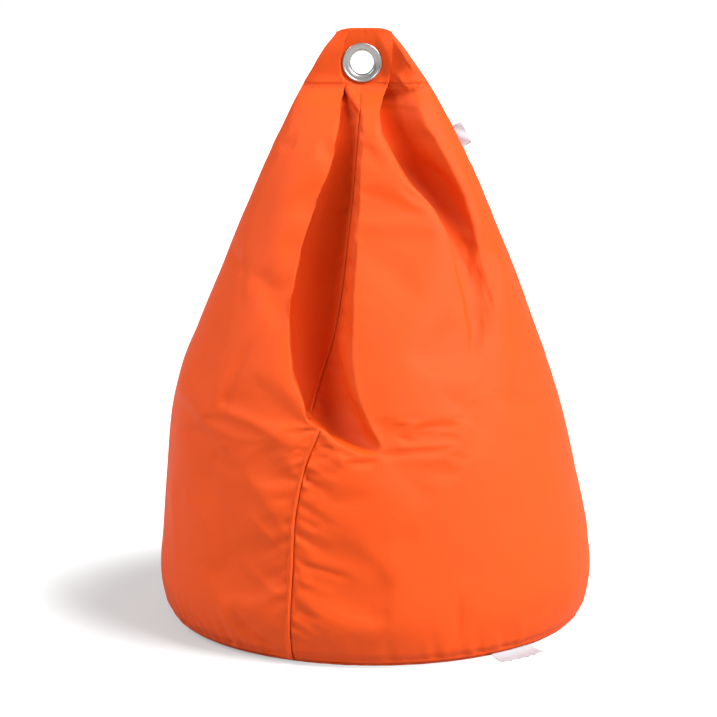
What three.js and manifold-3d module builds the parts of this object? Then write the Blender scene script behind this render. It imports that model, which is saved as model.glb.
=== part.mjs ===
// A drop-shaped bean bag chair, sewn from three gores and a round base, with a big metal eyelet
// through its flat top. A zipped inner bag holds the beads. Lengths are in millimetres, +Z is up,
// the front faces -Y, and the origin is on the floor under the middle of the base.
import * as THREE from "three";
import { mergeVertices } from "three/addons/utils/BufferGeometryUtils.js";
import Module from "manifold-3d";

const wasm = await Module();
wasm.setup();

// Overall sizes of the filled bag.
const bagHeight = 1030;
const bodyRadius = 381;
const baseSeamHeight = 10;
const baseFlatShare = 0.866;
const baseFlatRadius = baseFlatShare * bodyRadius;

// Layers of cloth and the gaps between them. The base seam's gap is wider: it holds the turned-in
// edges of both cloths.
const clothThickness = 1.2;
const facingThickness = 1;
const linerThickness = 0.8;
const layerGap = 0.3;
const baseSeamGap = 0.9;

// The flat top, its hem line and the eyelet through it.
const eyeletDrop = 59;
const eyeletHeight = bagHeight - eyeletDrop;
const eyeletBore = 40;
const eyeletFlangeWidth = 68;
const hemMargin = 2.8;
const hemHeight = eyeletHeight - eyeletFlangeWidth / 2 - hemMargin;
const hemShare = hemHeight / bagHeight;
const hemRunShare = 0.01;
const eyeletWall = 1;
const eyeletSheet = 1.5;
const eyeletRimRise = 3.6;
const eyeletCurl = 4.4;
const washerThickness = 1.4;
const eyeletClearance = 0.6;
const facingMargin = 12;
const facingTopDrop = 7;
const facingRise = 5;

// The two long folds of the front: a pleat beside the front seam and a tuck to its right.
const pleatDepth = 92;
const tuckDepth = 74;

// Where the cover's zip runs, low in the back seam, and the one along the top of the inner bag.
const zipFootHeight = 88;
const zipRise = 330;
const linerZipLength = 230;
const zipEndMargin = 14;
const zipEaseRise = 40;

// The parts of a zip.
const slotHalfWidth = 6.3;
const tapeWidth = 15;
const tapeThickness = 0.7;
const tapeOverlap = 8;
const coilWidth = 2.7;
const coilHeight = 2.4;
const coilSplit = 1.4;
const finThickness = 0.8;
const sliderLength = 19;
const sliderHalfWidth = 5.7;
const sliderPlate = 1.4;
const zipClearance = 0.35;
const stopLength = 4;
const stopGap = 0.6;
const bridgeHalfWidth = 1.5;
const bridgeThickness = 1.4;
const bridgeOpening = 2.4;
const bridgeLength = 11;
const pullLength = 34;
const pullHalfWidth = 3.9;
const pullThickness = 1.5;
const pullWindow = 5;

// The inner bag and the beads in it.
const linerGap = 7;
const linerTopShare = 0.68;
const linerHeight = linerTopShare * bagHeight;
const linerFootMargin = 8;
const linerFootRadius = baseFlatRadius - linerFootMargin;
const linerFootRise = 42;
const linerHem = 3;
const beadHeadroom = 140;
const beadTopHeight = linerHeight - beadHeadroom;
const beadCrown = 6;
const beadGap = 1;

// The sewn-in labels, left blank.
const sideLabelDrop = 88;
const sideLabelHeight = hemHeight - sideLabelDrop;
const sideLabelLength = 42;
const sideLabelReach = 18;
const sideLabelThickness = 0.9;
const careLeafWidth = 74;
const careLeafReach = 33;
const careLeafThickness = 0.5;
const careRootDrop = 3;
const upperLeafTurn = 38.5;
const lowerLeafTurn = 41;

// A cutter runs past what it cuts by this much.
const cutOverrun = 20;

const clothOrange = 0xf4581f;
const zipOrange = 0xe2561f;
const linerWhite = 0xe9e6df;
const labelWhite = 0xf2f1ee;
const beadWhite = 0xf7f7f4;
const steelGrey = 0xb9bcbf;

// Rows of shares: height of the bag, then the left, right, front and back half sizes of the body
// radius, and how square the section is. The foot is round, the top is flat from front to back.
const outlineShares = [
  [0.01, 0.945, 0.945, 0.945, 0.945, 2],
  [0.03, 0.978, 0.978, 0.975, 0.978, 2],
  [0.085, 1, 1, 0.995, 1, 2],
  [0.15, 0.987, 0.985, 0.98, 0.985, 2],
  [0.25, 0.968, 0.93, 0.945, 0.955, 2],
  [0.35, 0.944, 0.868, 0.885, 0.9, 2],
  [0.42, 0.905, 0.812, 0.81, 0.845, 2.05],
  [0.5, 0.82, 0.738, 0.7, 0.765, 2.15],
  [0.6, 0.705, 0.632, 0.56, 0.635, 2.3],
  [0.7, 0.591, 0.521, 0.425, 0.485, 2.45],
  [0.8, 0.474, 0.404, 0.285, 0.32, 2.6],
  [0.87, 0.38, 0.305, 0.14, 0.15, 2.9],
  [hemShare - hemRunShare, 0.346, 0.263, 0.02, 0.02, 4],
  [hemShare, 0.333, 0.247, 0, 0, 5.5],
  [0.96, 0.245, 0.147, 0, 0, 6.5],
  [1, 0.173, 0.071, 0, 0, 8],
];
const shoulderShare = 0.87;

// Where the seams and fold lines of the front run: share of the bag's height, then share of the
// half width to the right of the section's middle.
const frontSeamShares = [
  [0, -0.375],
  [0.22, -0.349],
  [0.32, -0.294],
  [0.385, -0.216],
  [0.44, -0.179],
  [0.574, -0.162],
  [0.727, -0.13],
  [0.909, -0.08],
  [1, -0.01],
];
const pleatEdgeShares = [
  [0, -0.6],
  [0.3, -0.45],
  [0.405, -0.3],
  [0.46, -0.376],
  [0.511, -0.426],
  [0.571, -0.465],
  [0.632, -0.468],
  [0.726, -0.408],
  [0.805, -0.33],
  [0.867, -0.345],
  [0.91, -0.36],
  [1, -0.5],
];
const pleatCrestShares = [
  [0, -0.1],
  [0.3, 0.02],
  [0.352, 0.068],
  [0.389, 0.023],
  [0.427, -0.024],
  [0.515, -0.08],
  [0.6, -0.085],
  [0.727, -0.07],
  [0.868, -0.04],
  [1, 0.05],
];
const tuckEdgeShares = [
  [0, 0.3],
  [0.4, 0.5],
  [0.58, 0.6],
  [0.661, 0.6],
  [0.701, 0.55],
  [0.757, 0.384],
  [0.805, 0.26],
  [0.855, 0.18],
  [0.9, 0.34],
  [0.947, 0.5],
  [1, 0.5],
];
const tuckCrestShares = [
  [0, 0.65],
  [0.46, 0.74],
  [0.61, 0.8],
  [0.72, 0.84],
  [0.8, 0.86],
  [0.882, 0.84],
  [1, 0.84],
];
const foldWallShare = 0.045;
const foldEase = 1.3;

// How deep the folds are up the bag, as shares of their own depths.
const pleatDepthShares = [
  [0, 0],
  [0.33, 0.5],
  [0.41, 0.85],
  [0.5, 1],
  [0.6, 0.95],
  [0.73, 0.66],
  [0.805, 0.4],
  [0.867, 0.2],
  [hemShare - 0.017, 0.05],
  [hemShare - 0.002, 0],
];
const tuckDepthShares = [
  [0.42, 0],
  [0.5, 0.06],
  [0.61, 0.2],
  [0.66, 0.42],
  [0.7, 0.75],
  [0.76, 1],
  [0.805, 0.95],
  [0.855, 0.55],
  [hemShare - 0.022, 0.15],
  [hemShare - 0.002, 0],
];

// The lip where the pleat ends on the full lower body: share of the half width, share of height.
const lipShares = [
  [-0.6, 0.417],
  [-0.33, 0.417],
  [-0.2, 0.383],
  [-0.1, 0.359],
  [0, 0.346],
  [0.3, 0.346],
];
const lipRiseShare = 0.022;

// The inner bag against the cover's section: share of height, then the width, front and back
// shares, and its own squareness. Above the fill line it stands back from the slack front.
const linerShares = [
  [0.27, 1, 1, 1, 2],
  [0.34, 1, 0.87, 1, 2],
  [0.4, 0.97, 0.66, 0.98, 2],
  [0.48, 0.93, 0.5, 0.92, 2.2],
  [0.58, 0.85, 0.38, 0.7, 2.6],
  [linerTopShare, 0.62, 0.175, 0.157, 4],
];

// The turns of the two other seams, from the front to the right, and the flat beside the zip.
const sideSeamTurn = 90;
const backSeamTurn = 217;
const zipFlatTurn = 4;
const zipEaseTurn = 22;

const fullTurn = 360;
const { clamp, degToRad, euclideanModulo, lerp, radToDeg, smoothstep } = THREE.MathUtils;
const tabHalfDepth = clothThickness + facingThickness + 2 * layerGap;
const zipHeadHeight = zipFootHeight + zipRise;
const linerFloor = clothThickness + layerGap;
const beadFloor = linerFloor + linerThickness + layerGap;

// A smooth curve through a column of the rows, at a value of the first column: cubic between
// neighbours, with slopes that never overshoot a row.
function along(rows, value, column = 1) {
  const last = rows.length - 1;
  if (value <= rows[0][0]) return rows[0][column];
  if (value >= rows[last][0]) return rows[last][column];
  const rise = (i) => (rows[i + 1][column] - rows[i][column]) / (rows[i + 1][0] - rows[i][0]);
  const slope = (i) => {
    if (i === 0) return rise(0);
    if (i === last) return rise(last - 1);
    const product = rise(i - 1) * rise(i);
    return product <= 0 ? 0 : (2 * product) / (rise(i - 1) + rise(i));
  };
  const k = rows.findIndex((row) => row[0] > value) - 1;
  const span = rows[k + 1][0] - rows[k][0];
  const t = (value - rows[k][0]) / span;
  const start = rows[k][column] * (1 + 2 * t) + slope(k) * span * t;
  const end = rows[k + 1][column] * (3 - 2 * t) - slope(k + 1) * span * (1 - t);
  return start * (1 - t) ** 2 + end * t ** 2;
}

// The cover's section at a height, drawn in all round by an inset.
function sectionAt(height, inset = 0) {
  const size = (column) => along(outlineShares, height / bagHeight, column);
  return {
    centre: ((size(2) - size(1)) / 2) * bodyRadius,
    halfWidth: ((size(2) + size(1)) / 2) * bodyRadius - inset,
    front: Math.hypot(size(3) * bodyRadius, tabHalfDepth) - inset,
    back: Math.hypot(size(4) * bodyRadius, tabHalfDepth) - inset,
    square: size(5),
  };
}

// How far the inner bag has swelled out above its base, from none to all.
function footSwell(height) {
  return Math.sqrt(1 - (1 - clamp((height - beadFloor) / linerFootRise, 0, 1)) ** 2);
}

// The inner bag's section: the cover's, narrowed by its own shares.
function linerSectionAt(height, inset) {
  const section = sectionAt(height, clothThickness + linerGap + inset);
  const share = (column) => along(linerShares, height / bagHeight, column);
  const fromFoot = (size) => lerp(linerFootRadius - inset, size, footSwell(height));
  return {
    centre: section.centre,
    halfWidth: fromFoot(section.halfWidth * share(1)),
    front: fromFoot(section.front * share(2)),
    back: fromFoot(section.back * share(3)),
    square: share(4),
  };
}

// A point on a section. The turn is in degrees from the front, to the right.
function sectionPoint(section, turn, height) {
  const side = Math.sin(degToRad(turn));
  const reach = Math.max(0, 1 - Math.abs(side) ** section.square) ** (1 / section.square);
  const depth = Math.cos(degToRad(turn)) > 0 ? -section.front * reach : section.back * reach;
  return new THREE.Vector3(section.centre + section.halfWidth * side, depth, height);
}

// How far a fold takes the cloth back across the front: nothing left of its wall, all of it at its
// edge, and easing out to its crest.
function foldShape(side, edge, crest) {
  if (side <= edge - foldWallShare || side >= crest) return 0;
  if (side < edge) return smoothstep(side, edge - foldWallShare, edge);
  return (1 - (side - edge) / (crest - edge)) ** foldEase;
}

function foldDepthAt(side, height) {
  const share = height / bagHeight;
  const opened = smoothstep(share - along(lipShares, side), -lipRiseShare / 2, lipRiseShare / 2);
  const pleat = along(pleatDepthShares, share) * opened * pleatDepth;
  const tuck = along(tuckDepthShares, share) * tuckDepth;
  return (
    pleat * foldShape(side, along(pleatEdgeShares, share), along(pleatCrestShares, share)) +
    tuck * foldShape(side, along(tuckEdgeShares, share), along(tuckCrestShares, share))
  );
}

// The zip of the cover lies on a straight line from foot to head in the back seam. Its own frame
// has Y up the zip and Z out of the bag.
const zipFoot = sectionPoint(sectionAt(zipFootHeight), backSeamTurn, zipFootHeight);
const zipHead = sectionPoint(sectionAt(zipHeadHeight), backSeamTurn, zipHeadHeight);
const zipMiddle = zipFoot.clone().lerp(zipHead, 0.5);
const zipUp = zipHead.clone().sub(zipFoot).normalize();
const zipBesideRight = sectionPoint(sectionAt(zipMiddle.z), backSeamTurn + zipFlatTurn, zipMiddle.z);
const zipBesideLeft = sectionPoint(sectionAt(zipMiddle.z), backSeamTurn - zipFlatTurn, zipMiddle.z);
const zipOut = zipBesideRight.sub(zipBesideLeft).cross(zipUp).normalize();
const zipAcross = zipUp.clone().cross(zipOut);

// Cloth beside the zip is drawn onto its plane, less the cloth's own depth below the cover's face:
// all that bulges past the plane, and between foot and head what falls short of it too.
function drawToZip(point, turn, depth) {
  const away = Math.abs(euclideanModulo(turn, fullTurn) - backSeamTurn);
  const share = 1 - smoothstep(away, zipFlatTurn, zipEaseTurn);
  const bulge = point.clone().sub(zipMiddle).dot(zipOut) + depth;
  const above = smoothstep(point.z, zipFootHeight - zipEaseRise, zipFootHeight);
  const below = 1 - smoothstep(point.z, zipHeadHeight, zipHeadHeight + zipEaseRise);
  const held = bulge > 0 ? 1 : above * below;
  return point.addScaledVector(zipOut, -bulge * held * share);
}

// The cover's outer face, and a layer at a depth under it.
function coverPoint(turn, height) {
  const point = drawToZip(sectionPoint(sectionAt(height), turn, height), turn, 0);
  if (Math.cos(degToRad(turn)) > 0) point.y += foldDepthAt(Math.sin(degToRad(turn)), height);
  return point;
}

const normalTurnStep = 0.5;
const normalHeightStep = 1.5;

function coverNormal(turn, height) {
  const high = Math.min(height + normalHeightStep, bagHeight);
  const low = Math.max(height - normalHeightStep, baseSeamHeight);
  const aside = coverPoint(turn + normalTurnStep, height).sub(coverPoint(turn - normalTurnStep, height));
  return aside.cross(coverPoint(turn, high).sub(coverPoint(turn, low))).normalize();
}

function layerPoint(turn, height, depth) {
  const flat = smoothstep(height, shoulderShare * bagHeight, hemHeight);
  const inward = sectionPoint(sectionAt(height, depth), turn, height);
  inward.sub(sectionPoint(sectionAt(height), turn, height));
  return coverPoint(turn, height)
    .addScaledVector(coverNormal(turn, height), -depth * (1 - flat))
    .addScaledVector(inward, flat);
}

function indexedGeometry(points, index) {
  const geometry = new THREE.BufferGeometry();
  const numbers = points.flatMap((point) => point.toArray());
  geometry.setAttribute("position", new THREE.Float32BufferAttribute(numbers, 3));
  return geometry.setIndex(index);
}

// A closed body between two grids of points of one size, the first on the outer side.
function shellGeometry(outer, inner) {
  const rows = outer.length;
  const columns = outer[0].length;
  const top = rows - 1;
  const right = columns - 1;
  const index = [];
  const at = (side, row, column) => (side * rows + row) * columns + column;
  const quad = (a, b, c, d) => index.push(a, b, c, a, c, d);
  for (let r = 0; r < top; r += 1) {
    for (let c = 0; c < right; c += 1) {
      quad(at(0, r, c), at(0, r, c + 1), at(0, r + 1, c + 1), at(0, r + 1, c));
      quad(at(1, r, c), at(1, r + 1, c), at(1, r + 1, c + 1), at(1, r, c + 1));
    }
    quad(at(0, r, 0), at(0, r + 1, 0), at(1, r + 1, 0), at(1, r, 0));
    quad(at(1, r, right), at(1, r + 1, right), at(0, r + 1, right), at(0, r, right));
  }
  for (let c = 0; c < right; c += 1) {
    quad(at(0, 0, c + 1), at(0, 0, c), at(1, 0, c), at(1, 0, c + 1));
    quad(at(0, top, c), at(0, top, c + 1), at(1, top, c + 1), at(1, top, c));
  }
  return indexedGeometry([...outer.flat(), ...inner.flat()], index);
}

// A closed body of rings of points, from its lowest ring to its highest, with a point at each end.
function ringedGeometry(rings, bottom, top) {
  const count = rings[0].length;
  const points = [...rings.flat(), bottom, top];
  const last = (rings.length - 1) * count;
  const index = [];
  const next = (i) => (i + 1) % count;
  for (let i = 0; i < count; i += 1) {
    for (let start = 0; start < last; start += count) {
      const [a, b] = [start + i, start + next(i)];
      index.push(a, b, b + count, a, b + count, a + count);
    }
    index.push(points.length - 2, next(i), i);
    index.push(points.length - 1, last + i, last + next(i));
  }
  return indexedGeometry(points, index);
}

// A solid of a geometry for cutting and joining, and the geometry of a solid.
function solidOf(geometry) {
  const bare = geometry.index ? geometry.toNonIndexed() : geometry;
  const positions = new THREE.BufferGeometry().setAttribute("position", bare.getAttribute("position"));
  const merged = mergeVertices(positions);
  const vertProperties = merged.attributes.position.array;
  const triVerts = new Uint32Array(merged.index.array);
  return new wasm.Manifold(new wasm.Mesh({ numProp: 3, vertProperties, triVerts }));
}

function geometryOf(solid) {
  const mesh = solid.getMesh();
  const geometry = new THREE.BufferGeometry();
  geometry.setAttribute("position", new THREE.BufferAttribute(mesh.vertProperties, mesh.numProp));
  return geometry.setIndex(new THREE.BufferAttribute(mesh.triVerts, 1));
}

function joined(geometries) {
  return geometryOf(geometries.map(solidOf).reduce((whole, piece) => whole.add(piece)));
}

function cutBy(geometry, ...cutters) {
  const solids = cutters.map(solidOf);
  return geometryOf(solids.reduce((rest, cutter) => rest.subtract(cutter), solidOf(geometry)));
}

// A box between two limits along each axis.
function slab([x0, x1], [y0, y1], [z0, z1]) {
  const geometry = new THREE.BoxGeometry(x1 - x0, y1 - y0, z1 - z0);
  return geometry.translate((x0 + x1) / 2, (y0 + y1) / 2, (z0 + z1) / 2);
}

function addPiece(parent, name, geometry, color, roughness = 0.8, metalness = 0) {
  const material = new THREE.MeshStandardMaterial({ color, roughness, metalness });
  const mesh = new THREE.Mesh(geometry, material);
  mesh.name = name;
  parent.add(mesh);
}

const bag = new THREE.Group();

// Zips. In a zip's frame Y runs up it and Z comes out of the cloth, whose face is at zero.
function zipGroup(across, up, out, middle) {
  const group = new THREE.Group();
  const frame = new THREE.Matrix4().makeBasis(across, up, out).setPosition(middle);
  frame.decompose(group.position, group.quaternion, group.scale);
  group.updateMatrixWorld(true);
  return group;
}

const coverZip = zipGroup(zipAcross, zipUp, zipOut, zipMiddle);
const coverZipRun = zipFoot.distanceTo(zipHead) - 2 * zipEndMargin;
const linerTop = new THREE.Vector3(sectionAt(linerHeight).centre, 0, linerHeight);
const linerZip = zipGroup(
  new THREE.Vector3(0, 1, 0),
  new THREE.Vector3(-1, 0, 0),
  new THREE.Vector3(0, 0, 1),
  linerTop,
);

function zipSlot(zip, run) {
  const across = [-slotHalfWidth, slotHalfWidth];
  const through = [-cutOverrun, cutOverrun];
  return slab(across, [-run / 2, run / 2], through).applyMatrix4(zip.matrixWorld);
}

const coilHalfWidth = coilSplit / 2 + coilWidth;

// The heights of a zip's layers in its frame, from the cloth it is sewn behind.
function zipLevels(cloth) {
  const tapeTop = -cloth - layerGap;
  const tapeFoot = tapeTop - tapeThickness;
  const coilFoot = tapeTop + layerGap;
  const coilTop = coilFoot + coilHeight;
  const plateFoot = coilTop + zipClearance;
  return { tapeTop, tapeFoot, coilFoot, coilTop, plateFoot, plateTop: plateFoot + sliderPlate };
}

// Two plates round the coils, a fin that parts them, side flanges, and a bridge for the pull.
function sliderGeometry(levels, middle, hasBridge) {
  const { tapeTop, tapeFoot, plateFoot, plateTop } = levels;
  const lowerTop = tapeFoot - zipClearance;
  const across = [-sliderHalfWidth, sliderHalfWidth];
  const lengthwise = [middle - sliderLength / 2, middle + sliderLength / 2];
  const flangeInner = coilHalfWidth + zipClearance;
  const flangeSpan = [tapeTop + zipClearance, plateTop];
  const finSpan = [lowerTop - sliderPlate / 2, plateTop - sliderPlate / 2];
  const pieces = [
    slab(across, lengthwise, [plateFoot, plateTop]),
    slab(across, lengthwise, [lowerTop - sliderPlate, lowerTop]),
    slab([-finThickness / 2, finThickness / 2], lengthwise, finSpan),
    slab([flangeInner, sliderHalfWidth], lengthwise, flangeSpan),
    slab([-sliderHalfWidth, -flangeInner], lengthwise, flangeSpan),
  ];
  if (hasBridge) {
    const bridgeAcross = [-bridgeHalfWidth, bridgeHalfWidth];
    const [low, high] = [middle - bridgeLength / 2, middle + bridgeLength / 2];
    const archFoot = plateTop + bridgeOpening;
    const archTop = archFoot + bridgeThickness;
    pieces.push(slab(bridgeAcross, [low, low + bridgeThickness], [plateFoot, archTop]));
    pieces.push(slab(bridgeAcross, [high - bridgeThickness, high], [plateFoot, archTop]));
    pieces.push(slab(bridgeAcross, [low, high], [archFoot, archTop]));
  }
  return joined(pieces);
}

// The pull hangs from a bar across the slider's bridge: a plate with a window and a round end.
function pullGeometry(levels, middle) {
  const barHeight = levels.plateTop + bridgeOpening / 2;
  const barPlace = middle - bridgeLength / 2 + bridgeThickness + zipClearance + pullThickness / 2;
  const windowHalf = bridgeHalfWidth + zipClearance;
  const roundMiddle = pullHalfWidth - pullLength;
  const outline = new THREE.Shape();
  outline.moveTo(pullHalfWidth, pullThickness / 2);
  outline.lineTo(-pullHalfWidth, pullThickness / 2);
  outline.lineTo(-pullHalfWidth, roundMiddle);
  outline.absarc(0, roundMiddle, pullHalfWidth, Math.PI, 2 * Math.PI, false);
  const window = new THREE.Path();
  window.moveTo(-windowHalf, -pullThickness / 2);
  window.lineTo(windowHalf, -pullThickness / 2);
  window.lineTo(windowHalf, -pullWindow);
  window.lineTo(-windowHalf, -pullWindow);
  outline.holes.push(window);
  const flat = { depth: pullThickness, bevelEnabled: false, curveSegments: 10 };
  return new THREE.ExtrudeGeometry(outline, flat).translate(0, barPlace, barHeight - pullThickness / 2);
}

function addZip(zip, run, cloth, names, colour) {
  const levels = zipLevels(cloth);
  const coilEnd = run / 2 - 2 * stopGap - stopLength;
  const stopAlong = [coilEnd + stopGap, coilEnd + stopGap + stopLength];
  const tapeAlong = [-run / 2 - tapeOverlap, run / 2 + tapeOverlap];
  const tapeSpan = [levels.tapeFoot, levels.tapeTop];
  const coilSpan = [levels.coilFoot, levels.coilTop];
  [-1, 1].forEach((side, i) => {
    const across = (width) => [(side * coilSplit) / 2, side * (coilSplit / 2 + width)].sort((a, b) => a - b);
    addPiece(zip, names.tapes[i], slab(across(tapeWidth), tapeAlong, tapeSpan), colour);
    addPiece(zip, names.coils[i], slab(across(coilWidth), [-coilEnd, coilEnd], coilSpan), colour, 0.45);
    addPiece(zip, names.topStops[i], slab(across(coilWidth), stopAlong, coilSpan), steelGrey, 0.35, 1);
  });
  const bothCoils = [-coilHalfWidth, coilHalfWidth];
  const bottomStop = slab(bothCoils, [-stopAlong[1], -stopAlong[0]], coilSpan);
  addPiece(zip, names.bottomStop, bottomStop, steelGrey, 0.35, 1);
  const middle = coilEnd - sliderLength / 2;
  const hasPull = Boolean(names.pull);
  addPiece(zip, names.slider, sliderGeometry(levels, middle, hasPull), steelGrey, 0.3, 1);
  if (hasPull) addPiece(zip, names.pull, pullGeometry(levels, middle), steelGrey, 0.3, 1);
  bag.add(zip);
}

const coverZipNames = {
  tapes: ["zip_tape_left", "zip_tape_right"],
  coils: ["zip_coil_left", "zip_coil_right"],
  topStops: ["zip_top_stop_left", "zip_top_stop_right"],
  bottomStop: "zip_bottom_stop",
  slider: "zip_slider",
  pull: "zip_pull",
};
const linerZipNames = {
  tapes: ["liner_zip_tape_front", "liner_zip_tape_back"],
  coils: ["liner_zip_coil_front", "liner_zip_coil_back"],
  topStops: ["liner_zip_top_stop_front", "liner_zip_top_stop_back"],
  bottomStop: "liner_zip_bottom_stop",
  slider: "liner_zip_slider",
};
addZip(coverZip, coverZipRun, clothThickness, coverZipNames, zipOrange);
addZip(linerZip, linerZipLength, linerThickness, linerZipNames, linerWhite);

// The eyelet sits on the line of the front seam: a ring whose barrel is curled over a washer.
const eyeletSection = sectionAt(eyeletHeight);
const eyeletSide = along(frontSeamShares, eyeletHeight / bagHeight);
const eyeletX = eyeletSection.centre + eyeletSection.halfWidth * eyeletSide;
const boreRadius = eyeletBore / 2;
const barrelRadius = boreRadius + eyeletWall;
const clothHoleRadius = barrelRadius + eyeletClearance;
const flangeRadius = eyeletFlangeWidth / 2;
const eyeletSides = 40;

function eyeletHole() {
  const hole = new THREE.CylinderGeometry(clothHoleRadius, clothHoleRadius, 2 * cutOverrun, eyeletSides);
  return hole.translate(eyeletX, 0, eyeletHeight);
}

// A turned ring. The points of its profile are a radius and a depth towards the back, and the
// lathe takes them in reverse so that its faces point out.
function turnedRing(profile) {
  const points = [...profile, profile[0]].map(([radius, depth]) => new THREE.Vector2(radius, depth));
  const lathe = new THREE.LatheGeometry(points.reverse(), eyeletSides);
  return lathe.translate(eyeletX, 0, eyeletHeight);
}

const flangeFoot = -tabHalfDepth - layerGap;
const rimTop = flangeFoot - eyeletRimRise;
const washerFoot = tabHalfDepth + layerGap;
const washerTop = washerFoot + washerThickness;
const curlFoot = washerTop + layerGap;
const rimRound = 0.3 * eyeletSheet;
const curlRise = 0.3 * eyeletWall;
const eyeletRing = turnedRing([
  [barrelRadius, flangeFoot],
  [flangeRadius, flangeFoot],
  [flangeRadius, rimTop + eyeletSheet],
  [flangeRadius - rimRound, rimTop + rimRound],
  [flangeRadius - eyeletSheet, rimTop],
  [flangeRadius - 2 * eyeletSheet, rimTop + rimRound],
  [boreRadius + eyeletWall / 2, flangeFoot - eyeletSheet],
  [boreRadius, flangeFoot],
  [boreRadius, curlFoot + eyeletWall],
  [boreRadius + eyeletWall, curlFoot + eyeletWall + curlRise],
  [boreRadius + eyeletCurl, curlFoot + eyeletWall],
  [boreRadius + eyeletCurl, curlFoot],
  [barrelRadius, curlFoot],
]);
const eyeletWasher = turnedRing([
  [clothHoleRadius, washerFoot],
  [clothHoleRadius, washerTop],
  [flangeRadius - washerThickness, washerTop],
  [flangeRadius, washerTop - washerThickness / 2],
  [flangeRadius, washerFoot],
]);
addPiece(bag, "eyelet_ring", eyeletRing, steelGrey, 0.25, 1);
addPiece(bag, "eyelet_washer", eyeletWasher, steelGrey, 0.25, 1);

// The facings lie flat inside the top, one behind each side of the cover.
const facingRows = 4;

function facingGeometry(side) {
  const low = hemHeight + facingRise;
  const high = bagHeight - facingTopDrop;
  const near = (side * layerGap) / 2;
  const rowAt = (row, depth) => {
    const height = lerp(low, high, row / facingRows);
    const { centre, halfWidth } = sectionAt(height, facingMargin);
    return [-1, 1].map((end) => new THREE.Vector3(centre + end * halfWidth, depth, height));
  };
  const grid = (depth) => Array.from({ length: facingRows + 1 }, (_, row) => rowAt(row, depth));
  const [frontGrid, backGrid] = [near, near + side * facingThickness].sort((a, b) => a - b).map(grid);
  return cutBy(shellGeometry(frontGrid, backGrid), eyeletHole());
}

addPiece(bag, "top_facing_front", facingGeometry(-1), clothOrange);
addPiece(bag, "top_facing_back", facingGeometry(1), clothOrange);

// The gores of the cover. Their rows of points are shares of the bag's height, and those near the
// lip of the pleat are drawn along it.
const goreRowShares = [
  0.02, 0.036, 0.06, 0.095, 0.15, 0.22, 0.29, 0.33, 0.352, 0.374, 0.396, 0.42, 0.445, 0.475, 0.51, 0.55,
  0.6, 0.65, 0.69, 0.73, 0.77, 0.81, 0.845, 0.87, 0.96,
  hemShare - 2 * hemRunShare, hemShare - hemRunShare, hemShare,
];
const lipRowShare = 0.385;
const lipWarpShares = { from: 0.3, to: 0.47 };
const lipWarpTurns = { left: [-80, -50], right: [20, 60] };
const guidePasses = 4;

const turnOfSide = (share) => radToDeg(Math.asin(share));
const guideTurns = {
  backSeamLeft: () => backSeamTurn - fullTurn,
  zipLeft: () => backSeamTurn - fullTurn + zipFlatTurn,
  zipEaseLeft: () => backSeamTurn - fullTurn + zipEaseTurn,
  leftFold: () => -90,
  pleatWall: (share) => turnOfSide(along(pleatEdgeShares, share) - foldWallShare),
  pleatEdge: (share) => turnOfSide(along(pleatEdgeShares, share)),
  frontSeam: (share) => turnOfSide(along(frontSeamShares, share)),
  pleatCrest: (share) => turnOfSide(along(pleatCrestShares, share)),
  tuckWall: (share) => turnOfSide(along(tuckEdgeShares, share) - foldWallShare),
  tuckEdge: (share) => turnOfSide(along(tuckEdgeShares, share)),
  tuckCrest: (share) => turnOfSide(along(tuckCrestShares, share)),
  sideSeam: () => sideSeamTurn,
  zipEaseRight: () => backSeamTurn - zipEaseTurn,
  zipRight: () => backSeamTurn - zipFlatTurn,
  backSeamRight: () => backSeamTurn,
};

// The height of a row at a turn: rows near the lip of the pleat follow it across the front.
function rowHeightAt(share, turn) {
  const shift = along(lipShares, Math.sin(degToRad(turn))) - lipRowShare;
  const across = smoothstep(turn, ...lipWarpTurns.left) * (1 - smoothstep(turn, ...lipWarpTurns.right));
  const below = (share - lipWarpShares.from) / (lipRowShare - lipRiseShare / 2 - lipWarpShares.from);
  const above = (lipWarpShares.to - share) / (lipWarpShares.to - lipRowShare - lipRiseShare / 2);
  return (share + shift * across * clamp(Math.min(below, above), 0, 1)) * bagHeight;
}

// The turns and heights of a row's points: guide lines, with a number of columns from each to the
// next. The first and the last stand half a gap off their seams.
function goreRow(stretches, share) {
  const last = stretches.length - 1;
  const guides = stretches.map(([name]) => {
    let turn = guideTurns[name](share);
    for (let pass = 0; pass < guidePasses; pass += 1) {
      turn = guideTurns[name](rowHeightAt(share, turn) / bagHeight);
    }
    return turn;
  });
  const turns = stretches.slice(0, last).flatMap(([, columns], k) =>
    Array.from({ length: columns }, (_, c) => lerp(guides[k], guides[k + 1], c / columns)),
  );
  turns.push(guides[last]);
  const row = turns.map((turn) => [turn, rowHeightAt(share, turn)]);
  const offSeam = ([turn, height], way) => {
    const beside = coverPoint(turn + way * normalTurnStep, height);
    const turnPerLength = normalTurnStep / beside.distanceTo(coverPoint(turn, height));
    return [turn + (way * turnPerLength * layerGap) / 2, height];
  };
  row[0] = offSeam(row[0], 1);
  row[turns.length - 1] = offSeam(row[turns.length - 1], -1);
  return row;
}

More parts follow.
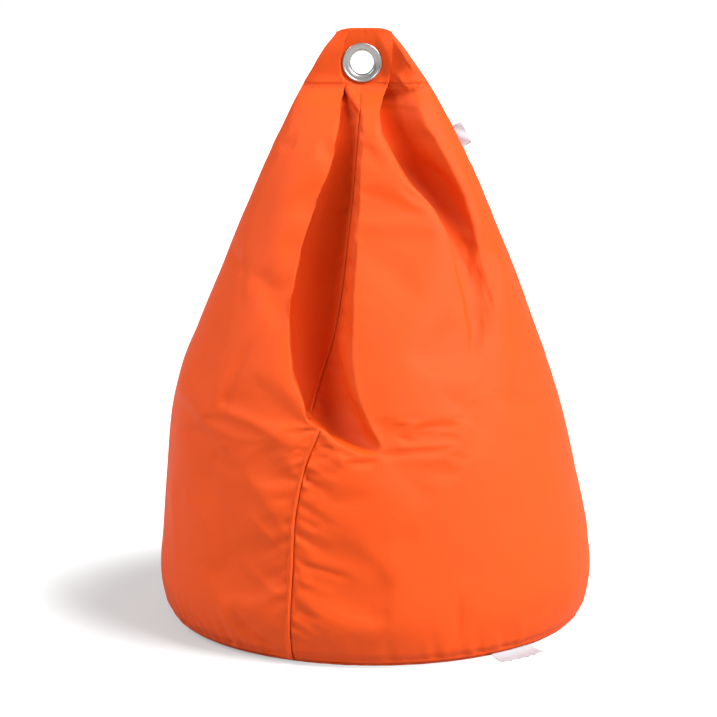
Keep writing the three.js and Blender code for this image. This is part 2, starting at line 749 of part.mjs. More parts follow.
// A gore's raw edge is turned in at the top, so its last row closes on the other side's.
function goreGeometry(stretches) {
  const ends = [baseSeamHeight + baseSeamGap, zipFootHeight, zipHeadHeight, bagHeight - tabHalfDepth];
  const shares = [...goreRowShares, ...ends.map((height) => height / bagHeight)];
  const rows = shares.sort((a, b) => a - b).map((share) => goreRow(stretches, share));
  const outer = rows.map((row) => row.map(([turn, height]) => coverPoint(turn, height)));
  const inner = rows.map((row) => row.map(([turn, height]) => layerPoint(turn, height, clothThickness)));
  const turnedIn = (row, height) =>
    row.map((point) => new THREE.Vector3(point.x, (Math.sign(point.y) * layerGap) / 2, height));
  outer.push(turnedIn(outer[outer.length - 1], bagHeight));
  inner.push(turnedIn(inner[inner.length - 1], bagHeight - clothThickness));
  return shellGeometry(outer, inner);
}

const leftStretches = [
  ["backSeamLeft", 1],
  ["zipLeft", 2],
  ["zipEaseLeft", 3],
  ["leftFold", 5],
  ["pleatWall", 1],
  ["pleatEdge", 3],
  ["frontSeam"],
];
const rightStretches = [
  ["frontSeam", 1],
  ["pleatCrest", 4],
  ["tuckWall", 1],
  ["tuckEdge", 3],
  ["tuckCrest", 3],
  ["sideSeam"],
];
const backStretches = [["sideSeam", 8], ["zipEaseRight", 2], ["zipRight", 1], ["backSeamRight"]];
const slot = zipSlot(coverZip, coverZipRun);
addPiece(bag, "cover_left_gore", cutBy(goreGeometry(leftStretches), eyeletHole(), slot), clothOrange);
addPiece(bag, "cover_right_gore", cutBy(goreGeometry(rightStretches), eyeletHole()), clothOrange);
addPiece(bag, "cover_back_gore", cutBy(goreGeometry(backStretches), eyeletHole(), slot), clothOrange);

// The base of the cover is a shallow dish, flat on the floor, whose rim meets the gores.
const roundSides = 48;
const rimRadius = outlineShares[0][1] * bodyRadius;
const rimBulgeShare = 0.66;
const rimBulgeRiseShare = 0.3;
const rimBulge = lerp(baseFlatRadius, rimRadius, rimBulgeShare);
const rimBulgeHeight = rimBulgeRiseShare * baseSeamHeight;

function turnedDisc(profile) {
  const points = profile.map(([radius, height]) => new THREE.Vector2(radius, height));
  return new THREE.LatheGeometry(points, roundSides).rotateX(Math.PI / 2);
}

const coverBase = turnedDisc([
  [0, 0],
  [baseFlatRadius, 0],
  [rimBulge, rimBulgeHeight],
  [rimRadius, baseSeamHeight],
  [rimRadius - clothThickness, baseSeamHeight],
  [rimBulge - clothThickness, rimBulgeHeight + clothThickness],
  [baseFlatRadius, clothThickness],
  [0, clothThickness],
]);
addPiece(bag, "cover_base", coverBase, clothOrange);

// The inner bag: a round base, a front and a back panel, and a flat brim on top that holds its zip.
const linerFootShares = [0, 0.1, 0.4];
const linerRowShares = [0.06, 0.1, 0.16, 0.22, 0.28, 0.34, 0.4, 0.46, 0.52, 0.58, 0.63];
const linerColumns = 14;
const linerFootHeights = linerFootShares.map((share) => beadFloor + share * linerFootRise);
const beadShoulderHeight = beadTopHeight - beadCrown;
const linerBodyHeights = [...linerRowShares.map((share) => share * bagHeight), beadShoulderHeight];
linerBodyHeights.sort((a, b) => a - b);

function linerPoint(turn, height, depth) {
  const point = sectionPoint(linerSectionAt(height, depth), turn, height);
  point.z += depth * (1 - footSwell(height));
  return drawToZip(point, turn, clothThickness + linerGap + depth);
}

function linerPanel(firstTurn) {
  const sign = firstTurn < 0 ? -1 : 1;
  const heights = [...linerFootHeights, ...linerBodyHeights, linerHeight];
  const grid = (depth) => {
    const rows = heights.map((height) =>
      Array.from({ length: linerColumns + 1 }, (_, c) => {
        const point = linerPoint(firstTurn + (180 * c) / linerColumns, height, depth);
        point.y = sign * Math.max(sign * point.y, layerGap / 2);
        return point;
      }),
    );
    const rim = rows[rows.length - 1];
    rim.forEach((point) => (point.z -= depth));
    rows.push(rim.map((point) => new THREE.Vector3(point.x, (sign * layerGap) / 2, point.z)));
    rim[0].y += sign * linerHem;
    rim[linerColumns].y += sign * linerHem;
    return rows;
  };
  return cutBy(shellGeometry(grid(0), grid(linerThickness)), zipSlot(linerZip, linerZipLength));
}

const linerBase = turnedDisc([
  [0, linerFloor],
  [linerFootRadius + linerHem, linerFloor],
  [linerFootRadius + linerHem, linerFloor + linerThickness],
  [0, linerFloor + linerThickness],
]);
addPiece(bag, "liner_front_panel", linerPanel(-90), linerWhite);
addPiece(bag, "liner_back_panel", linerPanel(90), linerWhite);
addPiece(bag, "liner_base", linerBase, linerWhite);

// The beads fill the inner bag up to a low crown.
const beadColumns = 2 * linerColumns;
const beadFlatShare = 0.93;
const beadCrownShare = 0.8;
const beadCrownRise = 0.7 * beadCrown;
const beadDepth = linerThickness + beadGap;

function beadRing(height) {
  return Array.from({ length: beadColumns }, (_, c) => linerPoint((fullTurn * c) / beadColumns, height, beadDepth));
}

function scaledRing(ring, share, height) {
  const centre = sectionAt(height).centre;
  return ring.map((point) => new THREE.Vector3(lerp(centre, point.x, share), point.y * share, height));
}

const beadHeights = linerBodyHeights.filter((height) => height <= beadShoulderHeight);
const beadRings = [...linerFootHeights, ...beadHeights].map(beadRing);
const beadFootRing = scaledRing(beadRings[0], beadFlatShare, beadFloor);
const crownHeight = beadShoulderHeight + beadCrownRise;
const beadCrownRing = scaledRing(beadRings[beadRings.length - 1], beadCrownShare, crownHeight);
const beadFoot = new THREE.Vector3(0, 0, beadFloor);
const beadTop = new THREE.Vector3(sectionAt(beadTopHeight).centre, 0, beadTopHeight);
const beads = ringedGeometry([beadFootRing, ...beadRings, beadCrownRing], beadFoot, beadTop);
addPiece(bag, "bead_filling", beads, beadWhite, 0.9);

// The side label stands out of the side seam, edge on to it.
function sideLabelGeometry() {
  const foot = coverPoint(sideSeamTurn, sideLabelHeight - sideLabelLength / 2);
  const head = coverPoint(sideSeamTurn, sideLabelHeight + sideLabelLength / 2);
  const up = head.clone().sub(foot).normalize();
  const outward = new THREE.Vector3(up.z, 0, -up.x);
  const corner = (share, reach, depth) =>
    foot.clone().lerp(head, share).addScaledVector(outward, reach).setY(depth);
  const grid = (depth) =>
    [0, 1].map((share) => [layerGap, layerGap + sideLabelReach].map((reach) => corner(share, reach, depth)));
  return shellGeometry(grid(-sideLabelThickness / 2), grid(sideLabelThickness / 2));
}

addPiece(bag, "side_label", sideLabelGeometry(), labelWhite);

// The two leaves of the care label lie outwards on the floor from just under the base seam.
const leafFallShares = [
  [0, 1],
  [0.25, 0.45],
  [0.55, 0.12],
  [1, 0],
];
const leafColumns = 4;

function careLeafGeometry(middleTurn, layer) {
  const lift = layerGap + layer * (careLeafThickness + layerGap);
  const rootRise = baseSeamHeight - careRootDrop - layerGap;
  const rimShare = (height) => (height - rimBulgeHeight) / (baseSeamHeight - rimBulgeHeight);
  const rootTop = lift + rootRise + careLeafThickness;
  const root = lerp(rimBulge, rimRadius, rimShare(rootTop)) + 2 * layerGap;
  const halfTurn = radToDeg(careLeafWidth / 2 / root);
  const grid = (thickness) =>
    Array.from({ length: leafColumns + 1 }, (_, c) => {
      const turn = degToRad(lerp(middleTurn - halfTurn, middleTurn + halfTurn, c / leafColumns));
      return leafFallShares.map(([share, rise]) => {
        const radius = root + share * careLeafReach;
        const height = lift + rise * rootRise + thickness;
        return new THREE.Vector3(radius * Math.sin(turn), -radius * Math.cos(turn), height);
      });
    });
  return shellGeometry(grid(careLeafThickness), grid(0));
}

addPiece(bag, "care_label_upper", careLeafGeometry(upperLeafTurn, 1), labelWhite);
addPiece(bag, "care_label_lower", careLeafGeometry(lowerLeafTurn, 0), labelWhite);

export default bag;
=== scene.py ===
import bpy
import numpy as np
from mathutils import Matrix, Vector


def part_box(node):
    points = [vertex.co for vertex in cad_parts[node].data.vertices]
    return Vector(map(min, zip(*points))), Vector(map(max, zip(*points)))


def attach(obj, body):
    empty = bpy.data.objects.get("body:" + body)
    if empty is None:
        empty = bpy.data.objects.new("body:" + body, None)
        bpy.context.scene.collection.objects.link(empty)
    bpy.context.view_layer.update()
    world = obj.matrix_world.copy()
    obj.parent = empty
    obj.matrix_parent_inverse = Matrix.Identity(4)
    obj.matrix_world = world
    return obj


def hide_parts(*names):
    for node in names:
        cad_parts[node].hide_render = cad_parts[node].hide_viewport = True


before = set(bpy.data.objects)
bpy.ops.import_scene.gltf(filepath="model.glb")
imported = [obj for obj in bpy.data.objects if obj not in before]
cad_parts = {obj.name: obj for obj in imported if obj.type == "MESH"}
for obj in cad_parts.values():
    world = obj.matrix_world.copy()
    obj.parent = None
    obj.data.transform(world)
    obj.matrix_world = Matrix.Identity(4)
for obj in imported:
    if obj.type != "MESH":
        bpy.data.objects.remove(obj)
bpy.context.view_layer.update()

# Camera. A long lens a little above the bag, looking slightly down at it, as the photograph is taken.
camera_data = bpy.data.cameras.new("camera")
camera_data.lens = 115.9
camera_data.sensor_width = 36
camera_data.shift_x = -0.0237
camera_data.shift_y = -0.0788
camera_data.clip_end = 50
camera = bpy.data.objects.new("camera", camera_data)
camera.location = (0, -4.0, 1.2)
camera.rotation_euler = (np.radians(90 - 9.2), 0, 0)
bpy.context.scene.collection.objects.link(camera)
bpy.context.scene.camera = camera

# The cover's left gore. A long piece of coated polyester cloth from the back seam round to the front
# seam, sewn to the right gore, the back gore and the base, and turned in along the top edge. The
# beads fill it below; above them the slack front is laid in a deep pleat beside the front seam.
bag_height = 1.03
body_radius = 0.381
base_seam = 0.0109
hem_share = 0.907
tab_half = 0.0028
cloth_turn_in = 0.007
eyelet_cut = 0.024
gore_rows_count = 420

# The filled body's sections: share of the height, half sizes to the left, right, front and back as
# shares of the radius, and squareness.
outline_rows = [
    (0.01, 0.945, 0.945, 0.945, 0.945, 2), (0.03, 0.978, 0.978, 0.975, 0.978, 2),
    (0.085, 1, 1, 0.995, 1, 2), (0.15, 0.987, 0.985, 0.98, 0.985, 2),
    (0.25, 0.968, 0.93, 0.945, 0.955, 2), (0.35, 0.944, 0.868, 0.885, 0.9, 2),
    (0.42, 0.905, 0.812, 0.81, 0.845, 2.05), (0.5, 0.82, 0.738, 0.7, 0.765, 2.15),
    (0.6, 0.705, 0.632, 0.56, 0.635, 2.3), (0.7, 0.591, 0.521, 0.425, 0.485, 2.45),
    (0.8, 0.474, 0.404, 0.285, 0.32, 2.6), (0.87, 0.38, 0.305, 0.14, 0.15, 2.9),
    (0.897, 0.346, 0.263, 0.02, 0.02, 4), (0.907, 0.333, 0.247, 0, 0, 5.5),
    (0.96, 0.245, 0.147, 0, 0, 6.5), (1, 0.173, 0.071, 0, 0, 8),
]
# Lines on the front: share of the height, and place across as a share of the half width.
front_seam_rows = [
    (0, -0.375), (0.22, -0.349), (0.32, -0.294), (0.385, -0.216), (0.44, -0.179), (0.574, -0.162),
    (0.727, -0.13), (0.909, -0.08), (1, -0.01),
]
pleat_edge_rows = [
    (0, -0.6), (0.3, -0.45), (0.405, -0.3), (0.46, -0.376), (0.511, -0.426), (0.571, -0.465),
    (0.632, -0.468), (0.726, -0.408), (0.805, -0.33), (0.867, -0.345), (0.9085, -0.37),
    (0.9252, -0.44), (0.953, -0.545), (0.981, -0.58), (1, -0.6),
]
pleat_crest_rows = [
    (0, -0.1), (0.3, 0.02), (0.352, 0.068), (0.389, 0.023), (0.427, -0.024), (0.515, -0.08),
    (0.6, -0.085), (0.727, -0.07), (0.868, -0.04), (1, 0.05),
]
# Share of the height, and depth as a share of the pleat's full depth.
pleat_depth_rows = [
    (0, 0), (0.33, 0.5), (0.41, 0.85), (0.5, 1), (0.6, 0.95), (0.73, 0.68), (0.805, 0.46),
    (0.85, 0.34), (0.875, 0.26), (0.892, 0.15), (0.907, 0.04), (0.915, 0),
]
# The lines of the pleat's closed top and of its lip: place across, and share of the height.
pleat_top_rows = [
    (-0.6, 0.915), (-0.334, 0.906), (-0.228, 0.89), (-0.12, 0.872), (0, 0.86), (0.2, 0.85),
]
lip_rows = [
    (-0.6, 0.411), (-0.36, 0.409), (-0.2, 0.381), (-0.1, 0.359), (0, 0.346), (0.3, 0.346),
]
# The tuck's edge, crest and depth, in the same way as the pleat's.
tuck_edge_rows = [
    (0, 0.3), (0.4, 0.5), (0.58, 0.6), (0.661, 0.6), (0.701, 0.55), (0.757, 0.384), (0.805, 0.26),
    (0.835, 0.18), (0.86, 0.156), (0.894, 0.262), (0.913, 0.352), (0.9425, 0.536), (0.972, 0.72),
    (1, 0.86),
]
tuck_crest_rows = [
    (0, 0.65), (0.46, 0.74), (0.61, 0.8), (0.72, 0.83), (0.77, 0.81), (0.82, 0.76), (0.86, 0.71),
    (0.905, 0.74), (0.9425, 0.88), (0.972, 0.94), (1, 0.96),
]
tuck_depth_rows = [
    (0.42, 0), (0.5, 0.08), (0.61, 0.26), (0.66, 0.48), (0.7, 0.78), (0.76, 1), (0.805, 0.84),
    (0.84, 0.8), (0.865, 0.74), (0.876, 0.64), (0.886, 0.45), (0.894, 0.25), (0.9, 0.16),
    (0.915, 0.11), (0.95, 0.09), (0.985, 0),
]
pleat_depth, tuck_depth = 0.108, 0.086
# Share of the height, and the power by which each fold's floor rises to its crest.
pleat_bow_rows = [(0, 2.6), (0.42, 3), (0.62, 3), (0.75, 2.4), (0.86, 1.5), (0.9, 1.2)]
tuck_bow_rows = [(0, 2.1), (0.66, 2), (0.8, 1.6), (0.86, 1.25), (0.9, 1.15)]
fold_wall, lip_rise, overhang = 0.04, 0.008, 0.006
# The folds' closing ranges, as shares of the height: the pleat's below its top line, and the tuck's
# at its foot. Then how the cloth beside them is lifted on the flat top.
pleat_close, tuck_close = (-0.014, 0.002), (0.57, 0.68)
tab_lift, left_lift_share, right_lift_share = 0.0058, 0.8, 1.35
lift_start, lift_end = (0.86, 0.905), (0.96, 1)
# Turns are in degrees round the bag, from the front over the right. The zip's lengths are heights.
side_seam_turn, back_seam_turn = 90, 217
zip_foot, zip_head, zip_flat, zip_ease, zip_rise = 0.088, 0.418, 4, 22, 0.04
gap_foot, gap_head, gap_close, gap_turn = 0.0963, 0.4096, 0.005, 1.02


def along(rows, value, column=1):
    """A smooth curve through a column of rows, at values of the first: cubic between neighbours, its
    slope at a row the harmonic mean of those on both sides, or zero where they differ in sign."""
    rows = np.asarray(rows, float)
    at, size = rows[:, 0], rows[:, column]
    rise = np.diff(size) / np.diff(at)
    slope = np.concatenate([rise[:1], np.zeros(len(at) - 2), rise[-1:]])
    product, total = rise[:-1] * rise[1:], rise[:-1] + rise[1:]
    slope[1:-1] = np.where(product > 0, 2 * product / np.where(product > 0, total, 1), 0)
    value = np.clip(value, at[0], at[-1])
    k = np.clip(np.searchsorted(at, value, side="right") - 1, 0, len(at) - 2)
    span = at[k + 1] - at[k]
    t = (value - at[k]) / span
    start = size[k] * (1 + 2 * t) + slope[k] * span * t
    end = size[k + 1] * (3 - 2 * t) - slope[k + 1] * span * (1 - t)
    return start * (1 - t) ** 2 + end * t**2


def smooth(value, low, high):
    """Zero below low, one above high, and 3t^2 - 2t^3 between them."""
    t = np.clip((value - low) / (high - low), 0, 1)
    return t * t * (3 - 2 * t)


def body_point(turn, height):
    """A point of the filled body. Across, it is the section's middle plus its half width times the
    sine of the turn; in depth, the half depth times (1 - |sine|^n)^(1/n), n its squareness."""
    share = height / bag_height
    left, right, front, back, square = (along(outline_rows, share, k) for k in range(1, 6))
    side, ahead = np.sin(np.radians(turn)), np.cos(np.radians(turn))
    reach = np.maximum(0, 1 - np.abs(side) ** square) ** (1 / square)
    fore, aft = np.hypot(front * body_radius, tab_half), np.hypot(back * body_radius, tab_half)
    depth = np.where(ahead > 0, -fore, aft)
    across = ((right - left) + (right + left) * side) / 2 * body_radius
    return np.stack([across, depth * reach, np.broadcast_to(height, np.shape(across))], -1)


def fold(side, edge, crest, bow):
    """Two shares over a fold: how deep it is, by a steep wall to its edge and then a rise to its
    crest as t^bow, 0.4 of it softened, and how far the wall's foot runs back under the cloth."""
    wall = smooth(side, edge - fold_wall, edge)
    t = np.clip((side - edge) / (crest - edge), 0, 1) ** bow
    deep = np.where(side < edge, wall, 1 - 0.6 * t - 0.4 * smooth(t, 0, 1))
    return deep, wall * (1 - smooth(t, 0, 0.55))


def folds(side, share):
    """How far the pleat and the tuck take the front in, and how far they run to the left under their
    upper edges: each fold's share by its full depth or shift. The pleat opens above its lip and
    closes at its top. On the flat top the cloth beside each is lifted."""
    opened = smooth(share - along(lip_rows, side), -lip_rise / 2, lip_rise / 2)
    opened *= 1 - smooth(share - along(pleat_top_rows, side), *pleat_close)
    edge, crest = along(pleat_edge_rows, share), along(pleat_crest_rows, share)
    pleat, pleat_under = fold(side, edge + fold_wall, crest, along(pleat_bow_rows, share))
    tuck_edge = along(tuck_edge_rows, share) + fold_wall
    tuck, tuck_under = fold(side, tuck_edge, along(tuck_crest_rows, share), along(tuck_bow_rows, share))
    pleat_size = along(pleat_depth_rows, share) * opened
    tuck_size = along(tuck_depth_rows, share)
    half_width = (along(outline_rows, share, 1) + along(outline_rows, share, 2)) / 2 * body_radius
    under = fold_wall * half_width + overhang
    on_top = smooth(share, *lift_start) * (1 - smooth(share, *lift_end))
    left_lift = left_lift_share * (1 - smooth(side, edge, edge + fold_wall)) * smooth(side, -1, -0.84)
    right_lift = right_lift_share * smooth(side, 0.26, 0.54) * (1 - smooth(side, 0.84, 1))
    lifted = tab_lift * on_top * (left_lift + right_lift)
    depth = pleat_depth * pleat_size * pleat + tuck_depth * tuck_size * tuck - lifted
    pleat_shift = np.minimum(1, 2 * pleat_size) * pleat_under
    tuck_shift = np.minimum(1, 5 * tuck_size) * smooth(share, *tuck_close) * tuck_under
    return depth, under * (pleat_shift + tuck_shift)


# The plane that the zip lies in: its middle, and its ways up, out and across.
zip_ends = body_point(np.array([back_seam_turn, back_seam_turn]), np.array([zip_foot, zip_head]))
zip_middle = zip_ends.mean(0)
zip_up = np.diff(zip_ends, axis=0)[0] / np.linalg.norm(np.diff(zip_ends, axis=0))
beside = body_point(np.array([back_seam_turn + zip_flat, back_seam_turn - zip_flat]), zip_middle[2])
zip_out = np.cross(beside[0] - beside[1], zip_up)
zip_out /= np.linalg.norm(zip_out)
zip_across = np.cross(zip_up, zip_out)


def face(turn, height):
    """The cover's outer face: the filled body, its front taken in by the folds, and the cloth beside
    the zip drawn onto the zip's plane."""
    point = body_point(turn, height)
    share = 1 - smooth(np.abs(np.mod(turn, 360) - back_seam_turn), zip_flat, zip_ease)
    bulge = (point - zip_middle) @ zip_out
    above = smooth(height, zip_foot - zip_rise, zip_foot)
    held = np.where(bulge > 0, 1, above * (1 - smooth(height, zip_head, zip_head + zip_rise)))
    point = point - (bulge * held * share)[..., None] * zip_out
    side, ahead = np.sin(np.radians(turn)), np.cos(np.radians(turn))
    depth, under = folds(side, height / bag_height)
    point[..., 1] += np.where(ahead > 0, depth, 0)
    point[..., 0] -= np.where(ahead > 0, under, 0)
    return point


def gore_rows(count):
    """Heights of a gore's rows, closer together at the foot, at the pleat's lip and at the hem."""
    fine = np.linspace(base_seam, bag_height - tab_half, 2000) / bag_height
    dense = 1 + 1.5 * np.exp(-(((fine - 0.38) / 0.05) ** 2)) + 1.2 * np.exp(-(((fine - 0.9) / 0.03) ** 2))
    dense += 2.5 * np.exp(-fine / 0.02)
    total = np.concatenate([[0], np.cumsum((dense[1:] + dense[:-1]) / 2)])
    return np.interp(np.linspace(0, total[-1], count), total, fine) * bag_height


def turn_of(rows, offset=0.0):
    """The turns of a line on the front that is given as shares of the half width."""
    return lambda share: np.degrees(np.arcsin(along(rows, share) + offset))


def parted(share):
    """How far, in degrees, the cloth's edge stands off the back seam beside the zip's coils."""
    height = share * bag_height
    opened = smooth(height, gap_foot, gap_foot + gap_close)
    closed = smooth(height, gap_head - gap_close, gap_head)
    return gap_turn * (opened * (1 - closed))


def gore_turns(lines, counts, heights, lean=1.8):
    """Turns of a gore's grid: each row runs through its guide lines, with a number of columns from
    each to the next, closer together at both seams."""
    guides = np.stack([np.broadcast_to(line(heights / bag_height), heights.shape) for line in lines], 1)
    steps = []
    for k, count in enumerate(counts):
        t = np.arange(count) / count
        t = t**lean if k == 0 else 1 - (1 - t) ** lean if k == len(counts) - 1 else t
        steps.append(k + t)
    place = np.concatenate([*steps, [len(counts)]])
    k = np.minimum(place.astype(int), len(counts) - 1)
    t = place - k
    return guides[:, k] * (1 - t) + guides[:, k + 1] * t


def outward(points):
    """Unit normals of a grid: the cross product of its steps along a row and up a column."""
    normal = np.cross(np.gradient(points, axis=1), np.gradient(points, axis=0))
    return normal / np.maximum(np.linalg.norm(normal, axis=-1, keepdims=True), 1e-12)


def paced(points, axis):
    """The length run from the first point of each line of a grid, along an axis."""
    steps = np.linalg.norm(np.diff(points, axis=axis), axis=-1)
    first = np.zeros_like(np.take(steps, [0], axis))
    return np.concatenate([first, np.cumsum(steps, axis)], axis)


def ripple(length, wave, seed):
    """An uneven wave: the mean of six sines near a wavelength, with seeded lengths and phases."""
    pick = np.random.default_rng(seed)
    waves, starts = wave * pick.uniform(0.55, 1.9, 6), pick.uniform(0, 2 * np.pi, 6)
    return sum(np.sin(2 * np.pi * length / w + s) for w, s in zip(waves, starts)) / 3


def drift(points, wave, seed):
    """Soft unevenness in space: the mean of nine sines of the place along seeded directions."""
    pick = np.random.default_rng(seed)
    ways = pick.normal(size=(9, 3)) * [1, 1, 0.45]
    ways /= np.linalg.norm(ways, axis=1, keepdims=True) * wave * pick.uniform(0.6, 1.6, (9, 1))
    starts = pick.uniform(0, 2 * np.pi, 9)
    return np.sin(2 * np.pi * points @ ways.T + starts).mean(-1) * 2


def slackness(share):
    """How slack the cloth is: tight over the beads, slack above them, and less so on the flat top."""
    return smooth(share, 0.3, 0.5) * (1 - 0.75 * smooth(share, 0.86, 0.91))


tight_drift, slack_drift = 0.0012, 0.0022


def drifted(points):
    """The cover's points moved in or out from the bag's axis by a soft unevenness, which is the same
    on both sides of a seam. The base seam and the flat top keep their place."""
    share = points[..., 2] / bag_height
    amount = (tight_drift + slack_drift * slackness(share)) * smooth(share, 0.01, 0.06)
    amount = amount * (1 - smooth(share, 0.87, 0.9))
    radial = points * [1, 1, 0] / np.linalg.norm(points[..., :2], axis=-1, keepdims=True)
    return points + (drift(points, wave=0.3, seed=23) * amount)[..., None] * radial


def wrinkles(points, normals, table):
    """The relief of wrinkles over a grid. Each has a height, a width on its left and on its right,
    and a line of turns and shares of height. It falls off as e^-(d/w)^1.7 with the distance d from
    its line, and fades out at both ends."""
    relief = np.zeros(points.shape[:2])
    for height, left, right, line in table:
        rows = np.column_stack([np.linspace(0, 1, len(line)), line])
        pace = np.linspace(0, 1, 60)
        ridge = face(along(rows, pace, 1), along(rows, pace, 2) * bag_height)
        way = np.gradient(ridge, axis=0)
        way /= np.linalg.norm(way, axis=1, keepdims=True)
        margin = 3 * max(left, right)
        near = ((points > ridge.min(0) - margin) & (points < ridge.max(0) + margin)).all(-1)
        if not near.any():
            continue
        offset = points[near][:, None] - ridge
        nearest = (offset**2).sum(-1).argmin(1)
        pick = np.arange(len(nearest))
        offset, tangent = offset[pick, nearest], way[nearest]
        ahead = (offset * tangent).sum(-1)
        away = np.linalg.norm(offset - ahead[:, None] * tangent, axis=-1)
        on_left = (np.cross(normals[near], tangent) * offset).sum(-1) > 0
        width = np.where(on_left, left, right)
        length = paced(ridge, 0)
        run = (length[nearest] + ahead) / length[-1]
        fade = smooth(run, -0.02, 0.3) * (1 - smooth(run, 0.7, 1.02))
        relief[near] += height * np.exp(-((away / width) ** 1.7)) * fade
    return relief


def seam_relief(points, edge, roll, groove, pucker, seed):
    """Relief beside a seam at a grid's first or last column: a rolled edge, which is a bell 2.2 mm
    from the seam, a groove that dies out in 3 mm, and puckers about 30 mm apart that die out in
    26 mm. All of it fades where the pleat's lip crosses the seam, and on the flat top, where only a
    fine groove is left."""
    away = paced(points, 1)
    away = away if edge == 0 else away[:, -1:] - away
    up = paced(points[:, edge], 0)[:, None]
    share = points[..., 2] / bag_height
    thick = roll * (1 - 0.5 * smooth(share, 0.37, 0.45))
    width = np.where(away < 0.0022, 0.0016, 0.005)
    rolled = thick * np.exp(-(((away - 0.0022) / width) ** 2)) - groove * np.exp(-away / 0.003)
    uneven = 0.4 + 0.6 * ripple(up, wave=0.21, seed=seed + 1) ** 2
    gathered = ripple(up + 0.5 * away, wave=0.03, seed=seed) * uneven
    relief = rolled + pucker * gathered * np.exp(-away / 0.026) * smooth(away, 0, 0.006)
    flat_top, lip = smooth(share, 0.885, 0.905), np.exp(-(((share - 0.384) / 0.01) ** 2))
    return relief * (1 - flat_top) * (1 - lip) - 0.0005 * flat_top * np.exp(-away / 0.0012)


def foot_relief(points, seed):
    """Relief above the base seam: a rolled edge, which is a bell 3 mm above it, and puckers about
    42 mm apart that die out in 30 mm upwards."""
    above = paced(points, 0)
    round_it = np.unwrap(np.arctan2(points[..., 0], -points[..., 1]), axis=1) * body_radius
    uneven = 0.5 + 0.5 * ripple(round_it, wave=0.3, seed=seed + 1)
    gathered = ripple(round_it + 0.25 * above, wave=0.042, seed=seed) * uneven
    puckers = 0.0028 * gathered * np.exp(-above / 0.03) * smooth(above, 0, 0.01)
    return 0.0016 * np.exp(-(((above - 0.003) / 0.003) ** 2)) + puckers


top_arch, top_raise = 0.0065, 0.001


def closed_top(points):
    """A gore's grid with its top edge rounded over to the middle of the flat top. The edge arches:
    it drops towards both ends with the fourth power of the way aside."""
    crown = points[-1]
    angles = np.radians([18, 36, 54, 72, 90])[:, None]
    over = np.stack([
        np.broadcast_to(crown[:, 0], (5, len(crown))),
        crown[:, 1] * np.cos(angles),
        crown[:, 2] + tab_half * np.sin(angles),
    ], -1)
    points = np.concatenate([points, over])
    share = points[..., 2] / bag_height
    left, right = along(outline_rows, share, 1), along(outline_rows, share, 2)
    aside = np.abs(points[..., 0] - (right - left) / 2 * body_radius) / ((right + left) / 2 * body_radius)
    points[..., 2] -= (top_arch * np.clip(aside, 0, 1) ** 4 - top_raise) * smooth(share, 0.965, 1)
    return points


eyelet_place = np.array([-0.0232, 0, 0.971])
eyelet_reach = 0.02


def grid_object(name, points, flat=None, hole=0.0):
    """An object over a grid of points, one smooth face to a cell, with the flat lengths as its UV
    map. Cells within the hole's radius of the eyelet, and near it in depth, are left out."""
    rows, columns = points.shape[:2]
    index = np.arange(rows * columns).reshape(rows, columns)
    corners = [index[:-1, :-1], index[:-1, 1:], index[1:, 1:], index[1:, :-1]]
    faces = np.stack(corners, -1).reshape(-1, 4)
    if hole:
        middles = points.reshape(-1, 3)[faces].mean(1) - eyelet_place
        clear = np.hypot(middles[:, 0], middles[:, 2]) > hole
        faces = faces[clear | (np.abs(middles[:, 1]) > eyelet_reach)]
    if flat is None:
        across = paced(points, 1)
        flat = np.stack([across - across.mean(1, keepdims=True), paced(points, 0)], -1)
    mesh = bpy.data.meshes.new(name)
    mesh.from_pydata(points.reshape(-1, 3), [], faces)
    mesh.uv_layers.new(name="cloth").data.foreach_set("uv", flat.reshape(-1, 2)[faces.ravel()].ravel())
    mesh.polygons.foreach_set("use_smooth", np.ones(len(faces), bool))
    piece = bpy.data.objects.new(name, mesh)
    bpy.context.scene.collection.objects.link(piece)
    return piece


def blurred(values, passes):
    """A grid smoothed by repeated means of each point and its neighbours, weighted 1, 2, 1."""
    for _ in range(passes):
        inner = (values[:-2] + 2 * values[1:-1] + values[2:]) / 4
        values = np.concatenate([values[:1], inner, values[-1:]])
        inner = (values[:, :-2] + 2 * values[:, 1:-1] + values[:, 2:]) / 4
        values = np.concatenate([values[:, :1], inner, values[:, -1:]], 1)
    return values


def spread(count, picked):
    """Linear weights that carry values at the picked places of a line to all its places."""
    place = np.arange(count)
    return np.stack([np.interp(place, picked, unit) for unit in np.eye(len(picked))], 1)


# Within each distance of a gore's border the settling cloth is held with a weight.
hold_bands = [(0.035, 0.1), (0.02, 0.3), (0.008, 1.0)]
tab_hold, last_frame, swelling_passes, soft_passes = 0.6, 20, 220, 4


